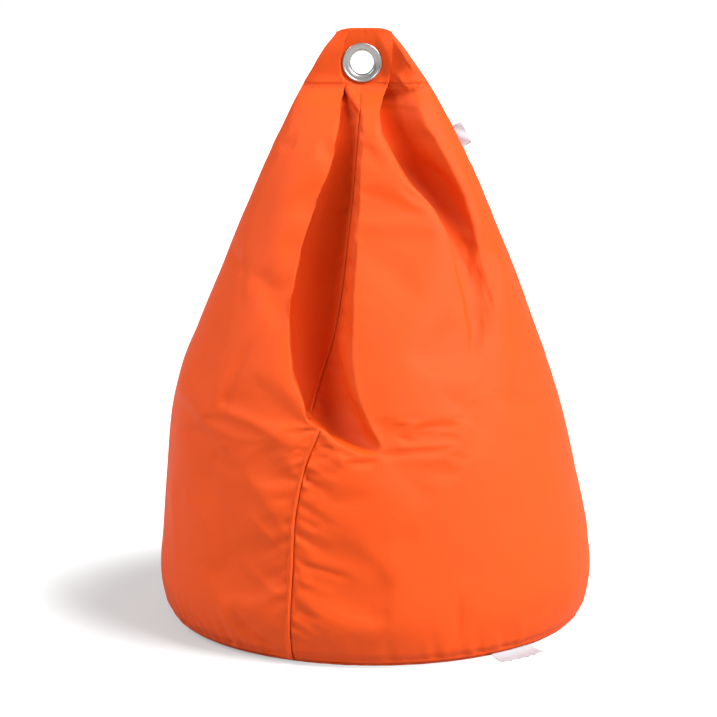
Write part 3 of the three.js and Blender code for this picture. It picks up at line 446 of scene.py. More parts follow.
def settled(points, held, ease=0.02, reach=0.006):
    """How a gore's cloth moves when it is a little longer than the filled shape: a coarse copy of the
    grid is simulated as cloth with slight pressure behind it and its seams and folds held. Its
    overall swelling, which is its own move blurred, is taken out again. What is left of a move of
    size s becomes r tanh(s / r), with r the reach."""
    rows = np.unique(np.r_[0 : len(points) : 4, len(points) - 1])
    columns = np.unique(np.r_[0 : points.shape[1] : 2, points.shape[1] - 1])
    coarse, pinned = points[np.ix_(rows, columns)], held[np.ix_(rows, columns)]
    cloth = grid_object("cloth_study", coarse)
    group = cloth.vertex_groups.new(name="held")
    for weight in (1.0, tab_hold, 0.3, 0.1):
        members = np.flatnonzero(np.isclose(pinned.ravel(), weight))
        group.add(members.tolist(), weight, "REPLACE")
    modifier = cloth.modifiers.new("cloth", "CLOTH")
    modifier.settings.vertex_group_mass = "held"
    modifier.settings.quality = 5
    modifier.settings.mass = 0.25
    modifier.settings.air_damping = 3
    modifier.settings.tension_stiffness = modifier.settings.compression_stiffness = 30
    modifier.settings.shear_stiffness = 12
    modifier.settings.bending_stiffness = 1.2
    modifier.settings.shrink_min = -ease
    modifier.settings.use_pressure = True
    modifier.settings.uniform_pressure_force = 0.6
    modifier.settings.effector_weights.gravity = 0
    scene = bpy.context.scene
    modifier.point_cache.frame_start, modifier.point_cache.frame_end = 1, last_frame
    for moment in range(1, last_frame + 1):
        scene.frame_set(moment)
    seen = cloth.evaluated_get(bpy.context.evaluated_depsgraph_get()).data
    moved = np.empty(coarse.size)
    seen.vertices.foreach_get("co", moved)
    scene.frame_set(1)
    bpy.data.objects.remove(cloth)
    move = moved.reshape(coarse.shape) - coarse
    move -= blurred(move, swelling_passes) * (1 - smooth(pinned, 0, 1))[..., None]
    size = np.linalg.norm(move, axis=-1, keepdims=True)
    move *= reach * np.tanh(size / reach) / np.maximum(size, 1e-9)
    up, over = spread(len(points), rows), spread(points.shape[1], columns)
    return blurred(np.einsum("ij,jkc,lk->ilc", up, move, over), soft_passes)


fillet_height, fillet_width, groove_depth, groove_width = 0.0035, 0.011, 0.0012, 0.0022
tight_uneven, slack_uneven = 0.0005, 0.0004
flange_edge, flange_fade = 0.033, 0.045
top_turn_less, zip_turn_less = 0.0062, 0.0058


def dressed(lines, counts, rows, table, seams, seed, zip_edge=None):
    """A gore's grid: settled as cloth, then given its wrinkles, the relief of its seams and a fillet
    and groove along the hem line. It settles less at the bag's left and right, so that the outline
    stays calm. Its top is closed and its side edges are turned in, beside the zip and on the flat top
    only as deep as the cloth is thick. Under the eyelet's flange the cloth stays flat."""
    heights = gore_rows(rows)
    turns = gore_turns(lines, counts, heights)
    share = heights[:, None] / bag_height
    points = face(turns, np.broadcast_to(heights[:, None], turns.shape))
    side, ahead = np.sin(np.radians(turns)), np.cos(np.radians(turns))
    folded = folds(side, share)[1] * (ahead > 0) > 0.005
    across = paced(points, 1)
    aside = np.minimum(across, across[:, -1:] - across)
    border = np.minimum(aside, paced(points, 0))
    held = np.zeros(border.shape)
    for distance, weight in hold_bands:
        held = np.where(border < distance, weight, held)
    held = np.where((share > 0.87) & (held < tab_hold), tab_hold, held)
    held = np.where(folded | (share > 0.885), 1.0, held)
    points = drifted(points)
    calm = 1 - 0.8 * smooth(np.abs(side), 0.84, 0.98)
    calm = calm * (1 - smooth(share, 0.8, 0.88)) * smooth(share, 0.02, 0.1)
    points = points + settled(points, held) * calm[..., None]
    normals = outward(points)
    relief = (wrinkles(points, normals, table) + foot_relief(points, seed)) * smooth(aside, 0, 0.006)
    for edge, (roll, groove, pucker) in zip((0, -1), seams):
        relief += seam_relief(points, edge, roll, groove, pucker, seed + 10 + edge)
    relief += drift(points, wave=0.09, seed=33) * (tight_uneven + slack_uneven * slackness(share))
    from_hem = share - hem_share
    fillet = np.exp(-((from_hem / fillet_width) ** 2)) * (1 - smooth(np.abs(side), 0.7, 0.95))
    relief += fillet_height * fillet
    relief -= groove_depth * np.exp(-((from_hem / groove_width) ** 2))
    round_eyelet = np.hypot(points[..., 0] - eyelet_place[0], points[..., 2] - eyelet_place[2])
    relief *= smooth(round_eyelet, flange_edge, flange_fade)
    points = closed_top(points + relief[..., None] * normals)
    inward = -outward(points)
    depths = cloth_turn_in - top_turn_less * smooth(points[:, [0, -1], 2] / bag_height, 0.87, 0.9)
    if zip_edge is not None:
        depths[: len(heights), zip_edge] -= zip_turn_less * parted(heights / bag_height) / gap_turn
    first = points[:, :1] + inward[:, :1] * depths[:, :1, None]
    last = points[:, -1:] + inward[:, -1:] * depths[:, 1:, None]
    return np.concatenate([first, points, last], 1)


def link(tree, start, end):
    """Joins one node's output to another's input."""
    tree.links.new(start, end)


def node(tree, kind, **settings):
    """A shader node with its settings, and sockets set by name."""
    made = tree.nodes.new(kind)
    for key, value in settings.items():
        if key in made.inputs:
            made.inputs[key].default_value = value
        else:
            setattr(made, key, value)
    return made


def bare_material(name):
    """A new material, its tree, and its Principled shader."""
    material = bpy.data.materials.new(name)
    material.use_nodes = True
    return material, material.node_tree, material.node_tree.nodes["Principled BSDF"]


def pattern(tree, kind, **settings):
    """A texture node that reads the piece's own coordinates."""
    texture = node(tree, kind, **settings)
    place = node(tree, "ShaderNodeTexCoord")
    link(tree, place.outputs["Object"], texture.inputs["Vector"])
    return texture


def mixed(tree, factor, first, second):
    """The colour between two colours, by a factor from a socket."""
    tone = node(tree, "ShaderNodeMix", data_type="RGBA")
    tone.inputs["A"].default_value = (*first, 1)
    tone.inputs["B"].default_value = (*second, 1)
    link(tree, factor, tone.inputs["Factor"])
    return tone.outputs["Result"]


def raised(tree, height, strength, distance, **settings):
    """A bump node whose height comes from a socket."""
    relief = node(tree, "ShaderNodeBump", Strength=strength, Distance=distance, **settings)
    link(tree, height, relief.inputs["Height"])
    return relief


def ranged(tree, value, limits, kind="LINEAR"):
    """A socket's value carried from one range to another. The limits are the ends of both."""
    span = node(tree, "ShaderNodeMapRange", interpolation_type=kind)
    for name, limit in zip(("From Min", "From Max", "To Min", "To Max"), limits):
        span.inputs[name].default_value = limit
    link(tree, value, span.inputs["Value"])
    return span.outputs[0]


def weave_group():
    """A plain weave on a flat map: the height is the size of the product of a sine across and a sine
    up, so a thread's top stands at each crossing, a pitch apart."""
    group = bpy.data.node_groups.new("plain_weave", "ShaderNodeTree")
    group.interface.new_socket("Map", in_out="INPUT", socket_type="NodeSocketVector")
    group.interface.new_socket("Pitch", in_out="INPUT", socket_type="NodeSocketFloat")
    group.interface.new_socket("Height", in_out="OUTPUT", socket_type="NodeSocketFloat")
    enter, leave = group.nodes.new("NodeGroupInput"), group.nodes.new("NodeGroupOutput")
    parts = node(group, "ShaderNodeSeparateXYZ")
    link(group, enter.outputs["Map"], parts.inputs[0])
    turn = node(group, "ShaderNodeMath", operation="DIVIDE")
    turn.inputs[0].default_value = np.pi
    link(group, enter.outputs["Pitch"], turn.inputs[1])
    crossing = node(group, "ShaderNodeMath", operation="MULTIPLY")
    for k, axis in enumerate(("X", "Y")):
        angle = node(group, "ShaderNodeMath", operation="MULTIPLY")
        link(group, parts.outputs[axis], angle.inputs[0])
        link(group, turn.outputs[0], angle.inputs[1])
        wave = node(group, "ShaderNodeMath", operation="SINE")
        link(group, angle.outputs[0], wave.inputs[0])
        link(group, wave.outputs[0], crossing.inputs[k])
    height = node(group, "ShaderNodeMath", operation="ABSOLUTE")
    link(group, crossing.outputs[0], height.inputs[0])
    link(group, height.outputs[0], leave.inputs["Height"])
    return group


plain_weave = weave_group()


def cloth_material(name, colour, pale, pitch, roughness, sheen, crumple=0.0006):
    """Woven cloth: thread relief from the weave, a third of a pitch high, fine crumples over it, and a
    faint change of colour."""
    material, tree, shader = bare_material(name)
    flat = node(tree, "ShaderNodeUVMap", uv_map="cloth")
    weave = node(tree, "ShaderNodeGroup", node_tree=plain_weave, Pitch=pitch)
    link(tree, flat.outputs[0], weave.inputs["Map"])
    blotch = pattern(tree, "ShaderNodeTexNoise", Scale=7.0, Detail=5.0, Roughness=0.6)
    link(tree, mixed(tree, blotch.outputs[0], colour, pale), shader.inputs["Base Color"])
    threads = raised(tree, weave.outputs["Height"], 0.4, pitch / 3)
    fine = pattern(tree, "ShaderNodeTexNoise", Scale=34.0, Detail=5.0, Roughness=0.55)
    crumples = raised(tree, fine.outputs[0], 0.8, crumple)
    link(tree, threads.outputs[0], crumples.inputs["Normal"])
    link(tree, crumples.outputs[0], shader.inputs["Normal"])
    shader.inputs["Roughness"].default_value = roughness
    shader.inputs["Specular IOR Level"].default_value = 0.15
    shader.inputs["Sheen Weight"].default_value = sheen
    shader.inputs["Sheen Roughness"].default_value = 0.5
    shader.inputs["Sheen Tint"].default_value = (*pale, 1)
    return material


cover_cloth = cloth_material(
    "cover_cloth", (0.54, 0.051, 0.003), (0.58, 0.06, 0.004), pitch=0.0006, roughness=0.6, sheen=0.03
)

# Each wrinkle: height, width on its left and on its right, and its line of turns and shares of the
# height. A height below zero is a crease.
left_wrinkles = [
    (0.006, 0.034, 0.013, [(-84, 0.403), (-64.6, 0.399), (-53.5, 0.377), (-44, 0.337), (-38, 0.31)]),
    (0.0025, 0.016, 0.010, [
        (-40, 0.317), (-34.6, 0.329), (-31.4, 0.342), (-23.4, 0.377), (-19.4, 0.396),
    ]),
    (0.004, 0.030, 0.014, [(-42, 0.33), (-33.4, 0.294), (-29.2, 0.269), (-25.1, 0.242), (-21.5, 0.197)]),
    (-0.004, 0.009, 0.013, [(-39, 0.51), (-42.8, 0.463), (-43.9, 0.432), (-45.5, 0.394), (-42.5, 0.37)]),
    (-0.004, 0.030, 0.030, [(-60, 0.56), (-61, 0.5), (-62, 0.41)]),
    (-0.0035, 0.012, 0.014, [(-84, 0.637), (-70, 0.628), (-61.2, 0.62), (-50, 0.595)]),
    (0.0025, 0.009, 0.011, [(-35, 0.245), (-29.2, 0.218), (-23, 0.188)]),
    (0.0022, 0.009, 0.010, [(-37, 0.166), (-28, 0.1285), (-22.5, 0.113)]),
    (-0.0042, 0.008, 0.010, [(-39.2, 0.1), (-36, 0.0605), (-31, 0.0357), (-24, 0.021)]),
    (0.0034, 0.008, 0.012, [(-43, 0.098), (-40, 0.058), (-34, 0.033), (-27, 0.02)]),
    (-0.0045, 0.032, 0.030, [(-58, 0.34), (-48, 0.27), (-42, 0.2), (-40, 0.12)]),
    (0.003, 0.022, 0.022, [(-72, 0.27), (-66, 0.17), (-62, 0.1)]),
    (0.0022, 0.008, 0.009, [(-64, 0.254), (-53.6, 0.222), (-46, 0.195)]),
    (0.0024, 0.007, 0.009, [(-73, 0.092), (-64.2, 0.0636), (-57, 0.04)]),
    (0.0022, 0.006, 0.008, [(-56, 0.068), (-51, 0.0456), (-47, 0.028)]),
    (-0.0026, 0.030, 0.026, [(-56, 0.30), (-43, 0.275), (-29, 0.238)]),
    (-0.0022, 0.012, 0.012, [(-75, 0.95), (-74, 0.93), (-70, 0.905), (-68, 0.88)]),
    (0.0045, 0.011, 0.004, [
        (-21.5, 0.908), (-19.5, 0.9035), (-13.2, 0.888), (-8.6, 0.873), (-7.4, 0.862),
    ]),
    (0.003, 0.020, 0.020, [(-70, 0.84), (-64, 0.74), (-60, 0.62), (-52, 0.5)]),
    (-0.003, 0.018, 0.022, [(-95, 0.42), (-112, 0.38), (-128, 0.33)]),
    (0.003, 0.016, 0.022, [(-92, 0.36), (-108, 0.31), (-124, 0.28)]),
    (-0.0035, 0.014, 0.014, [(-100, 0.87), (-104, 0.74), (-112, 0.6)]),
]
left_lines = [
    lambda share: back_seam_turn - 360 + parted(share),
    lambda share: back_seam_turn - 360 + zip_flat + 0 * share,
    lambda share: back_seam_turn - 360 + zip_ease + 0 * share,
    lambda share: -90 + 0 * share,
    turn_of(pleat_edge_rows),
    turn_of(pleat_edge_rows, fold_wall),
    turn_of(front_seam_rows),
]
# Each seam, at a grid's first column and at its last: the heights of its roll, groove and puckers.
left_seams = [(0.0012, 0.0015, 0.0018), (0.0036, 0.0006, 0.0016)]
left_points = dressed(
    left_lines, [8, 20, 34, 96, 14, 50], gore_rows_count, left_wrinkles, left_seams, 3, zip_edge=0
)
left_gore = grid_object("left_gore", left_points, hole=eyelet_cut)
left_gore.data.materials.append(cover_cloth)
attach(left_gore, "bag")
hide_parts("cover_left_gore")

# The cover's right gore, a piece of the same cloth from the front seam to the side seam. Its slack
# top is laid in a tuck, which is caught in the hem line.
right_wrinkles = [
    (0.0035, 0.008, 0.005, [(33, 0.926), (35.5, 0.918), (37.5, 0.907), (41.5, 0.893)]),
    (0.003, 0.006, 0.007, [(41.5, 0.893), (52.4, 0.902), (66, 0.918)]),
    (-0.0025, 0.006, 0.008, [(51, 0.943), (57, 0.934), (59, 0.924), (56, 0.913)]),
    (0.003, 0.022, 0.018, [
        (54, 0.85), (55.1, 0.8225), (56.4, 0.743), (61.6, 0.644), (70.8, 0.549), (76.4, 0.471),
    ]),
    (-0.005, 0.02, 0.02, [(37, 0.74), (41, 0.7), (43.5, 0.66), (44.5, 0.615), (43.5, 0.55), (41, 0.47)]),
    (-0.0025, 0.016, 0.02, [(43.5, 0.57), (41, 0.51), (39, 0.46), (37.5, 0.41)]),
    (0.003, 0.02, 0.016, [(56, 0.7), (59, 0.64), (59, 0.59), (56, 0.52)]),
    (-0.0034, 0.022, 0.020, [(21, 0.445), (27.2, 0.4155), (33.6, 0.376), (38, 0.35)]),
    (-0.002, 0.018, 0.018, [(30, 0.398), (42, 0.411), (58, 0.41)]),
    (-0.002, 0.020, 0.018, [(17, 0.37), (25, 0.356), (34, 0.34)]),
    (-0.003, 0.022, 0.024, [(5, 0.353), (11.4, 0.305), (17, 0.258)]),
    (-0.0026, 0.022, 0.024, [(-3, 0.194), (4, 0.208), (13, 0.226)]),
    (0.0035, 0.010, 0.009, [(-13.4, 0.387), (-9, 0.356), (-5.4, 0.322)]),
    (-0.0035, 0.006, 0.008, [(-7, 0.331), (-1.4, 0.332), (3.4, 0.337)]),
    (0.004, 0.009, 0.030, [(-6.8, 0.52), (-3.6, 0.451), (-1.3, 0.408), (4.2, 0.346)]),
    (-0.003, 0.006, 0.007, [(-20, 0.171), (-16, 0.167), (-11.6, 0.16), (-5, 0.149)]),
    (0.0028, 0.011, 0.012, [(-22.5, 0.154), (-15.5, 0.137), (-9, 0.121)]),
    (-0.003, 0.006, 0.007, [(-21.5, 0.1), (-17.5, 0.091), (-13.4, 0.083)]),
    (-0.0024, 0.006, 0.007, [(-21, 0.242), (-17.5, 0.236), (-13.5, 0.224)]),
    (-0.0024, 0.006, 0.007, [(-20, 0.29), (-16.5, 0.287), (-13, 0.281)]),
    (-0.003, 0.022, 0.020, [(38, 0.066), (48.4, 0.07), (60, 0.074)]),
]
right_lines = [
    turn_of(front_seam_rows),
    turn_of(pleat_crest_rows),
    turn_of(tuck_edge_rows),
    turn_of(tuck_edge_rows, fold_wall),
    turn_of(tuck_crest_rows),
    lambda share: side_seam_turn + 0 * share,
]
right_seams = [(0.0004, 0.0016, 0.0022), (0.0005, 0.0012, 0.0006)]
right_points = dressed(
    right_lines, [44, 50, 14, 44, 44], gore_rows_count, right_wrinkles, right_seams, 5
)
right_gore = grid_object("right_gore", right_points, hole=eyelet_cut)
right_gore.data.materials.append(cover_cloth)
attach(right_gore, "bag")
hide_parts("cover_right_gore")

# The cover's back gore, from the side seam to the back seam with the zip. It leans back over the
# beads, with a few long drag lines down from the flat top and creases where the beads end.
back_wrinkles = [
    (-0.006, 0.020, 0.026, [(128, 0.88), (134, 0.78), (139, 0.68), (141, 0.56)]),
    (-0.005, 0.024, 0.018, [(172, 0.87), (170, 0.76), (166, 0.66), (163, 0.55)]),
    (-0.005, 0.016, 0.018, [(197, 0.88), (200, 0.79), (205, 0.7), (207, 0.61)]),
    (0.004, 0.022, 0.024, [(150, 0.85), (152, 0.74), (153, 0.6), (151, 0.48)]),
    (0.005, 0.030, 0.013, [(176, 0.43), (160, 0.405), (144, 0.393), (128, 0.41)]),
    (-0.003, 0.014, 0.014, [(122, 0.46), (112, 0.43), (103, 0.38)]),
    (-0.003, 0.012, 0.013, [(181, 0.38), (188, 0.335), (193, 0.28)]),
    (0.003, 0.010, 0.012, [(118, 0.22), (108, 0.19), (98, 0.175)]),
    (-0.003, 0.010, 0.010, [(150, 0.09), (154, 0.055), (157, 0.02)]),
    (-0.003, 0.009, 0.009, [(180, 0.07), (182, 0.045), (183, 0.018)]),
]
back_lines = [
    lambda share: side_seam_turn + 0 * share,
    lambda share: back_seam_turn - zip_ease + 0 * share,
    lambda share: back_seam_turn - zip_flat + 0 * share,
    lambda share: back_seam_turn - parted(share),
]
back_seams = [(0.0005, 0.0012, 0.0006), (0.0012, 0.0015, 0.0018)]
back_points = dressed(back_lines, [130, 22, 8], 400, back_wrinkles, back_seams, 9, zip_edge=1)
back_gore = grid_object("back_gore", back_points, hole=eyelet_cut)
back_gore.data.materials.append(cover_cloth)
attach(back_gore, "bag")
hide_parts("cover_back_gore")

# The cover's round base, cut from the same cloth. It lies flat on the floor, and its rim turns up to
# the seam, where the gores' ends are eased in.
base_turns = np.radians(np.linspace(0, 360, 361))
eased_out, eased_up = 0.0011, 0.0005
# From the middle out to the seam: radius, and height over the floor.
base_profile = np.array([
    (0.002, 0.0004), (0.05, 0.0004), (0.1, 0.0004), (0.15, 0.0004), (0.2, 0.0004), (0.25, 0.0004),
    (0.29, 0.0004), (0.315, 0.0004), (0.328, 0.0006), (0.336, 0.0009), (0.343, 0.0016), (0.349, 0.0028),
    (0.354, 0.0046), (0.3575, 0.0068), (0.3592, 0.0086), (0.3596, 0.0098), (0.357, 0.0102),
    (0.352, 0.0102),
])
easing = ripple(base_turns * body_radius, wave=0.04, seed=31)
easing = easing * (1 - smooth(base_turns, 6.1, 6.283)) * smooth(base_turns, 0, 0.18)
reach = base_profile[:, :1] + eased_out * easing * smooth(base_profile[:, :1], 0.335, 0.357)
lift = base_profile[:, 1:] + eased_up * easing * smooth(base_profile[:, :1], 0.31, 0.35)
base_points = np.stack([reach * np.sin(base_turns), reach * np.cos(base_turns), lift], -1)
base_panel = grid_object("base_panel", base_points, flat=base_points[..., :2])
base_panel.data.materials.append(cover_cloth)
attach(base_panel, "bag")
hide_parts("cover_base")

# The stitching of the hem line, where the front and the back are sewn together under the eyelet: a
# lock stitch of thick thread, a row on each gore.
stitch_pitch, stitch_share, thread_radius, thread_rise = 0.0036, 0.82, 0.00032, 0.0004


def stitch_row(name, line, normal):
    """A row of stitches along a line. Each is a thread of nine rings. Its height over the cloth is
    a half ellipse, the root of 1 - (2t)^2 with t from -1/2 to 1/2, so that both ends dip in."""
    length = paced(line, 0)
    count = int(length[-1] / stitch_pitch)
    starts = (np.arange(count) + 0.5) * length[-1] / count
    rings = np.linspace(-0.5, 0.5, 9)
    at = starts[:, None] + rings * stitch_pitch * stitch_share
    middle = np.stack([np.interp(at, length, line[:, k]) for k in range(3)], -1)
    out = np.stack([np.interp(at, length, normal[:, k]) for k in range(3)], -1)
    ahead = np.gradient(middle, axis=1)
    ahead /= np.linalg.norm(ahead, axis=-1, keepdims=True)
    aside = np.cross(out, ahead)
    rise = thread_rise * np.sqrt(np.clip(1 - (2 * rings) ** 2, 0, 1)) - thread_rise / 2
    turn = np.linspace(0, 2 * np.pi, 7)[:-1]
    spin = np.cos(turn)[:, None] * aside[:, :, None] + np.sin(turn)[:, None] * out[:, :, None]
    points = middle[:, :, None] + rise[:, None, None] * out[:, :, None] + thread_radius * spin
    index = np.arange(points.size // 3).reshape(points.shape[:3])
    ring, next_ring = index[:, :-1], index[:, 1:]
    turned, next_turned = np.roll(ring, -1, 2), np.roll(next_ring, -1, 2)
    faces = np.stack([ring, turned, next_turned, next_ring], -1).reshape(-1, 4)
    mesh = bpy.data.meshes.new(name)
    mesh.from_pydata(points.reshape(-1, 3), [], faces)
    mesh.polygons.foreach_set("use_smooth", np.ones(len(faces), bool))
    piece = bpy.data.objects.new(name, mesh)
    bpy.context.scene.collection.objects.link(piece)
    return piece


thread_paint, tree, shader = bare_material("thread")
waves = pattern(tree, "ShaderNodeTexWave", Scale=900.0, Distortion=1.0, bands_direction="DIAGONAL")
plies = waves.outputs["Fac"]
link(tree, raised(tree, plies, 0.5, 0.0001).outputs[0], shader.inputs["Normal"])
# The plies are painted paler where they stand up and darker in the grooves between them. This is painted
# highlight and shade that follow the relief.
link(tree, mixed(tree, plies, (0.72, 0.05, 0.005), (0.9, 0.12, 0.02)), shader.inputs["Base Color"])
shader.inputs["Roughness"].default_value = 0.5
hem_grids = {
    "hem_stitches_left": left_points,
    "hem_stitches_right": right_points,
    "hem_stitches_back": back_points,
}
for name, grid in hem_grids.items():
    row = np.abs(grid[:, grid.shape[1] // 2, 2] - hem_share * bag_height).argmin()
    normals = outward(grid)
    stitches = stitch_row(name, grid[row, 2:-2], normals[row, 2:-2])
    stitches.data.materials.append(thread_paint)
    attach(stitches, "bag")

# The two facings inside the flat top, one behind each side of the cover: strips of stiff woven
# interlining that keep the eyelet from tearing out. They are sewn in with the hem and show nowhere.
facing_cloth = cloth_material(
    "facing_cloth", (0.6, 0.07, 0.01), (0.66, 0.09, 0.02), pitch=0.0008, roughness=0.8, sheen=0.0
)
facing_margin, facing_depth, facing_thickness, facing_cut = 0.012, 0.0012, 0.0009, 0.0216


def thickened(piece, thickness):
    """A sheet's object given its thickness, on the side away from its faces' normals."""
    layer = piece.modifiers.new("thickness", "SOLIDIFY")
    layer.thickness, layer.offset = thickness, -1


for name, side in (("facing_front", -1), ("facing_back", 1)):
    low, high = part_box("top_" + name)
    heights = np.linspace(low[2], high[2], 90)[:, None]
    share = heights / bag_height
    left, right = along(outline_rows, share, 1), along(outline_rows, share, 2)
    half_width = (left + right) / 2 * body_radius - facing_margin
    across = (right - left) / 2 * body_radius - side * half_width * np.linspace(-1, 1, 160)
    depth = np.full(across.shape, side * facing_depth)
    sheet_points = np.stack([across, depth, np.broadcast_to(heights, across.shape)], -1)
    facing = grid_object(name, sheet_points, flat=sheet_points[..., ::2], hole=facing_cut)
    thickened(facing, facing_thickness)
    facing.data.materials.append(facing_cloth)
    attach(facing, "bag")
    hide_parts("top_" + name)

# The eyelet: a pressed ring of bright nickel-plated steel with a rolled outer bead and a funnel to
# its barrel, which is curled over a washer at the back. The profiles are radii and depths in mm.
ring_profile = np.array([
    (21.0, -3.1), (27.0, -3.1), (32.6, -3.1), (33.7, -3.5), (34.0, -4.4), (33.8, -5.5), (33.2, -6.3),
    (32.2, -6.65), (31.2, -6.3), (30.5, -5.7), (29.5, -5.35), (28.2, -5.25), (26.6, -5.1), (25.0, -4.75),
    (23.6, -4.2), (22.5, -3.5), (21.6, -2.6), (20.8, -1.4), (20.3, -0.1), (20.05, 1.2), (20.0, 1.9),
    (20.0, 2.5), (20.0, 4.6), (20.25, 5.5), (21.0, 6.0), (22.2, 6.05), (23.6, 5.8), (24.3, 5.3),
    (24.2, 4.85), (23.2, 4.75), (21.6, 4.8), (21.0, 4.4), (21.0, 1.0),
]) / 1000
washer_profile = np.array([
    (21.6, 3.1), (21.6, 3.8), (21.9, 4.3), (22.6, 4.45), (25.0, 4.5), (29.0, 4.5), (32.2, 4.4),
    (33.4, 4.1), (33.95, 3.7), (34.0, 3.3), (33.6, 3.1), (28.0, 3.1),
]) / 1000


def lathe(name, profile, middle, sides=168, finer=3):
    """A ring turned from a closed profile of radii and depths. Between neighbours the profile is a
    Catmull-Rom curve, in a number of finer steps."""
    before, after, beyond = np.roll(profile, 1, 0), np.roll(profile, -1, 0), np.roll(profile, -2, 0)
    t = (np.arange(finer) / finer)[None, :, None]
    p0, p1, p2, p3 = (rows[:, None] for rows in (before, profile, after, beyond))
    curve = 0.5 * (2 * p1 + (p2 - p0) * t + (2 * p0 - 5 * p1 + 4 * p2 - p3) * t**2
                   + (3 * p1 - p0 - 3 * p2 + p3) * t**3)
    curve = curve.reshape(-1, 2)
    curve = np.concatenate([curve, curve[:1]])
    turn = np.linspace(0, 2 * np.pi, sides + 1)
    radius, depth = curve[:, :1], curve[:, 1:] + 0 * turn
    points = np.stack([radius * np.cos(turn), depth, radius * np.sin(turn)], -1) + middle
    flat = np.stack([radius * 0 + turn * 0.03, np.cumsum(curve, 0)[:, :1] + 0 * turn], -1)
    piece = grid_object(name, points, flat=flat)
    piece.data.validate()
    return piece


def metal_material(name, colour, roughness, scratch):
    """Plated steel: a fine grain in its relief, clouded roughness from 0.7 to 1.5 times its own, and
    a colour that falls to 0.86 of its own in the same clouds."""
    material, tree, shader = bare_material(name)
    cloud = pattern(tree, "ShaderNodeTexNoise", Scale=160.0, Detail=4.0).outputs[0]
    gloss = ranged(tree, cloud, (0, 1, roughness * 0.7, roughness * 1.5))
    link(tree, gloss, shader.inputs["Roughness"])
    dull = [0.86 * part for part in colour]
    link(tree, mixed(tree, cloud, colour, dull), shader.inputs["Base Color"])
    grain = pattern(tree, "ShaderNodeTexNoise", Scale=1400.0, Detail=2.0)
    relief = raised(tree, grain.outputs[0], scratch, 0.00005)
    link(tree, relief.outputs[0], shader.inputs["Normal"])
    shader.inputs["Metallic"].default_value = 1
    return material


eyelet_steel = metal_material("eyelet_steel", (0.42, 0.42, 0.415), roughness=0.3, scratch=0.25)
for name, profile in (("eyelet_ring", ring_profile), ("eyelet_washer", washer_profile)):
    ring = lathe(name + "_turned", profile, eyelet_place)
    ring.data.materials.append(eyelet_steel)
    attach(ring, "bag")
    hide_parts(name)

# The side label: a strip of white satin tape folded in half and sewn into the side seam, fold
# outwards. It carries no print.
label_satin = cloth_material(
    "label_satin", (0.44, 0.46, 0.5), (0.49, 0.51, 0.55), 0.00035, 0.42, 0.05, crumple=0.0002
)
label_length, label_reach, label_fold, label_root, label_drop = 0.042, 0.018, 0.00045, 0.0012, 0.088
label_middle = hem_share * bag_height - label_drop
label_foot, label_head = (
    drifted(face(np.array(float(side_seam_turn)), np.array(height)))
    for height in (label_middle - label_length / 2, label_middle + label_length / 2)
)
label_up = (label_head - label_foot) / np.linalg.norm(label_head - label_foot)
label_out = np.array([label_up[2], 0, -label_up[0]])
# The tape runs out from the seam, turns over between 0.47 and 0.53 of its length, and runs back.
run = np.linspace(0, 1, 61)
out = np.interp(run, [0, 0.47, 0.5, 0.53, 1], [0.0, 0.971, 1, 0.971, 0.0]) * label_reach - label_root
depth = np.cos(np.pi * np.clip((run - 0.47) / 0.06, 0, 1)) * -label_fold
strip = np.linspace(0, 1, 24)[:, None]
curl = 0.0016 * smooth(out / label_reach, 0.1, 1) * np.sin(2.2 * strip + 0.5)
curl = curl + 0.0007 * np.sin(9 * strip + 4 * out / label_reach)
label_points = (
    label_foot
    + strip[..., None] * label_length * label_up
    + out[None, :, None] * label_out
    + (depth + curl)[..., None] * np.array([0, 1, 0])
)
label_flat = np.stack(np.broadcast_arrays(run * 2 * label_reach, strip * label_length), -1)
side_label = grid_object("side_label_tape", label_points, flat=label_flat)
thickened(side_label, thickness=0.0003)
side_label.data.materials.append(label_satin)
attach(side_label, "bag")
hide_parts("side_label")

# The care label: two leaves of the same white tape sewn in under the base seam, one over the other.
# They fall to the floor and lie there, with their free edges a little curled. Both are bare.
# Their satin is painted a darker grey than the side label's. This is painted shade that keeps the
# upward-facing leaves from glaring white under the lamps.
shaded_leaf_satin = cloth_material(
    "shaded_leaf_satin", (0.37, 0.38, 0.4), (0.41, 0.42, 0.44), 0.00035, 0.5, 0.0, crumple=0.0002
)
leaf_width, leaf_length, leaf_drop, leaf_clearance, leaf_curl = 0.074, 0.033, 0.0067, 0.0006, 0.0016
# Share of the leaf's length, and share of its drop from the seam that is left there.
leaf_fall = [(0, 1), (0.25, 0.45), (0.55, 0.12), (1, 0)]
for name, middle_turn, root, lift, seed in (
    ("care_label_upper", 38.5, 0.3582, 0.0011, 41), ("care_label_lower", 41.0, 0.3570, 0.0003, 43),
):
    share = np.linspace(0, 1, 30)[:, None]
    half_turn = np.degrees(leaf_width / 2 / root)
    turn = np.radians(np.linspace(middle_turn - half_turn, middle_turn + half_turn, 60))
    radius = root + share * leaf_length + 0 * turn
    curl = ripple(turn * root + 0.4 * share * leaf_length, wave=0.03, seed=seed) * 0.5 + 0.5
    drop = along(leaf_fall, share) * leaf_drop
    height = lift + leaf_clearance + drop + leaf_curl * share**2 * curl
    top = np.stack([radius * np.sin(turn), -radius * np.cos(turn), height], -1)
    leaf_flat = np.stack([turn * root + 0 * share, share * leaf_length + 0 * turn], -1)
    leaf = grid_object(name + "_leaf", top[::-1], flat=leaf_flat[::-1])
    thickened(leaf, thickness=0.0004)
    leaf.data.materials.append(shaded_leaf_satin)
    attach(leaf, "bag")
    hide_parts(name)

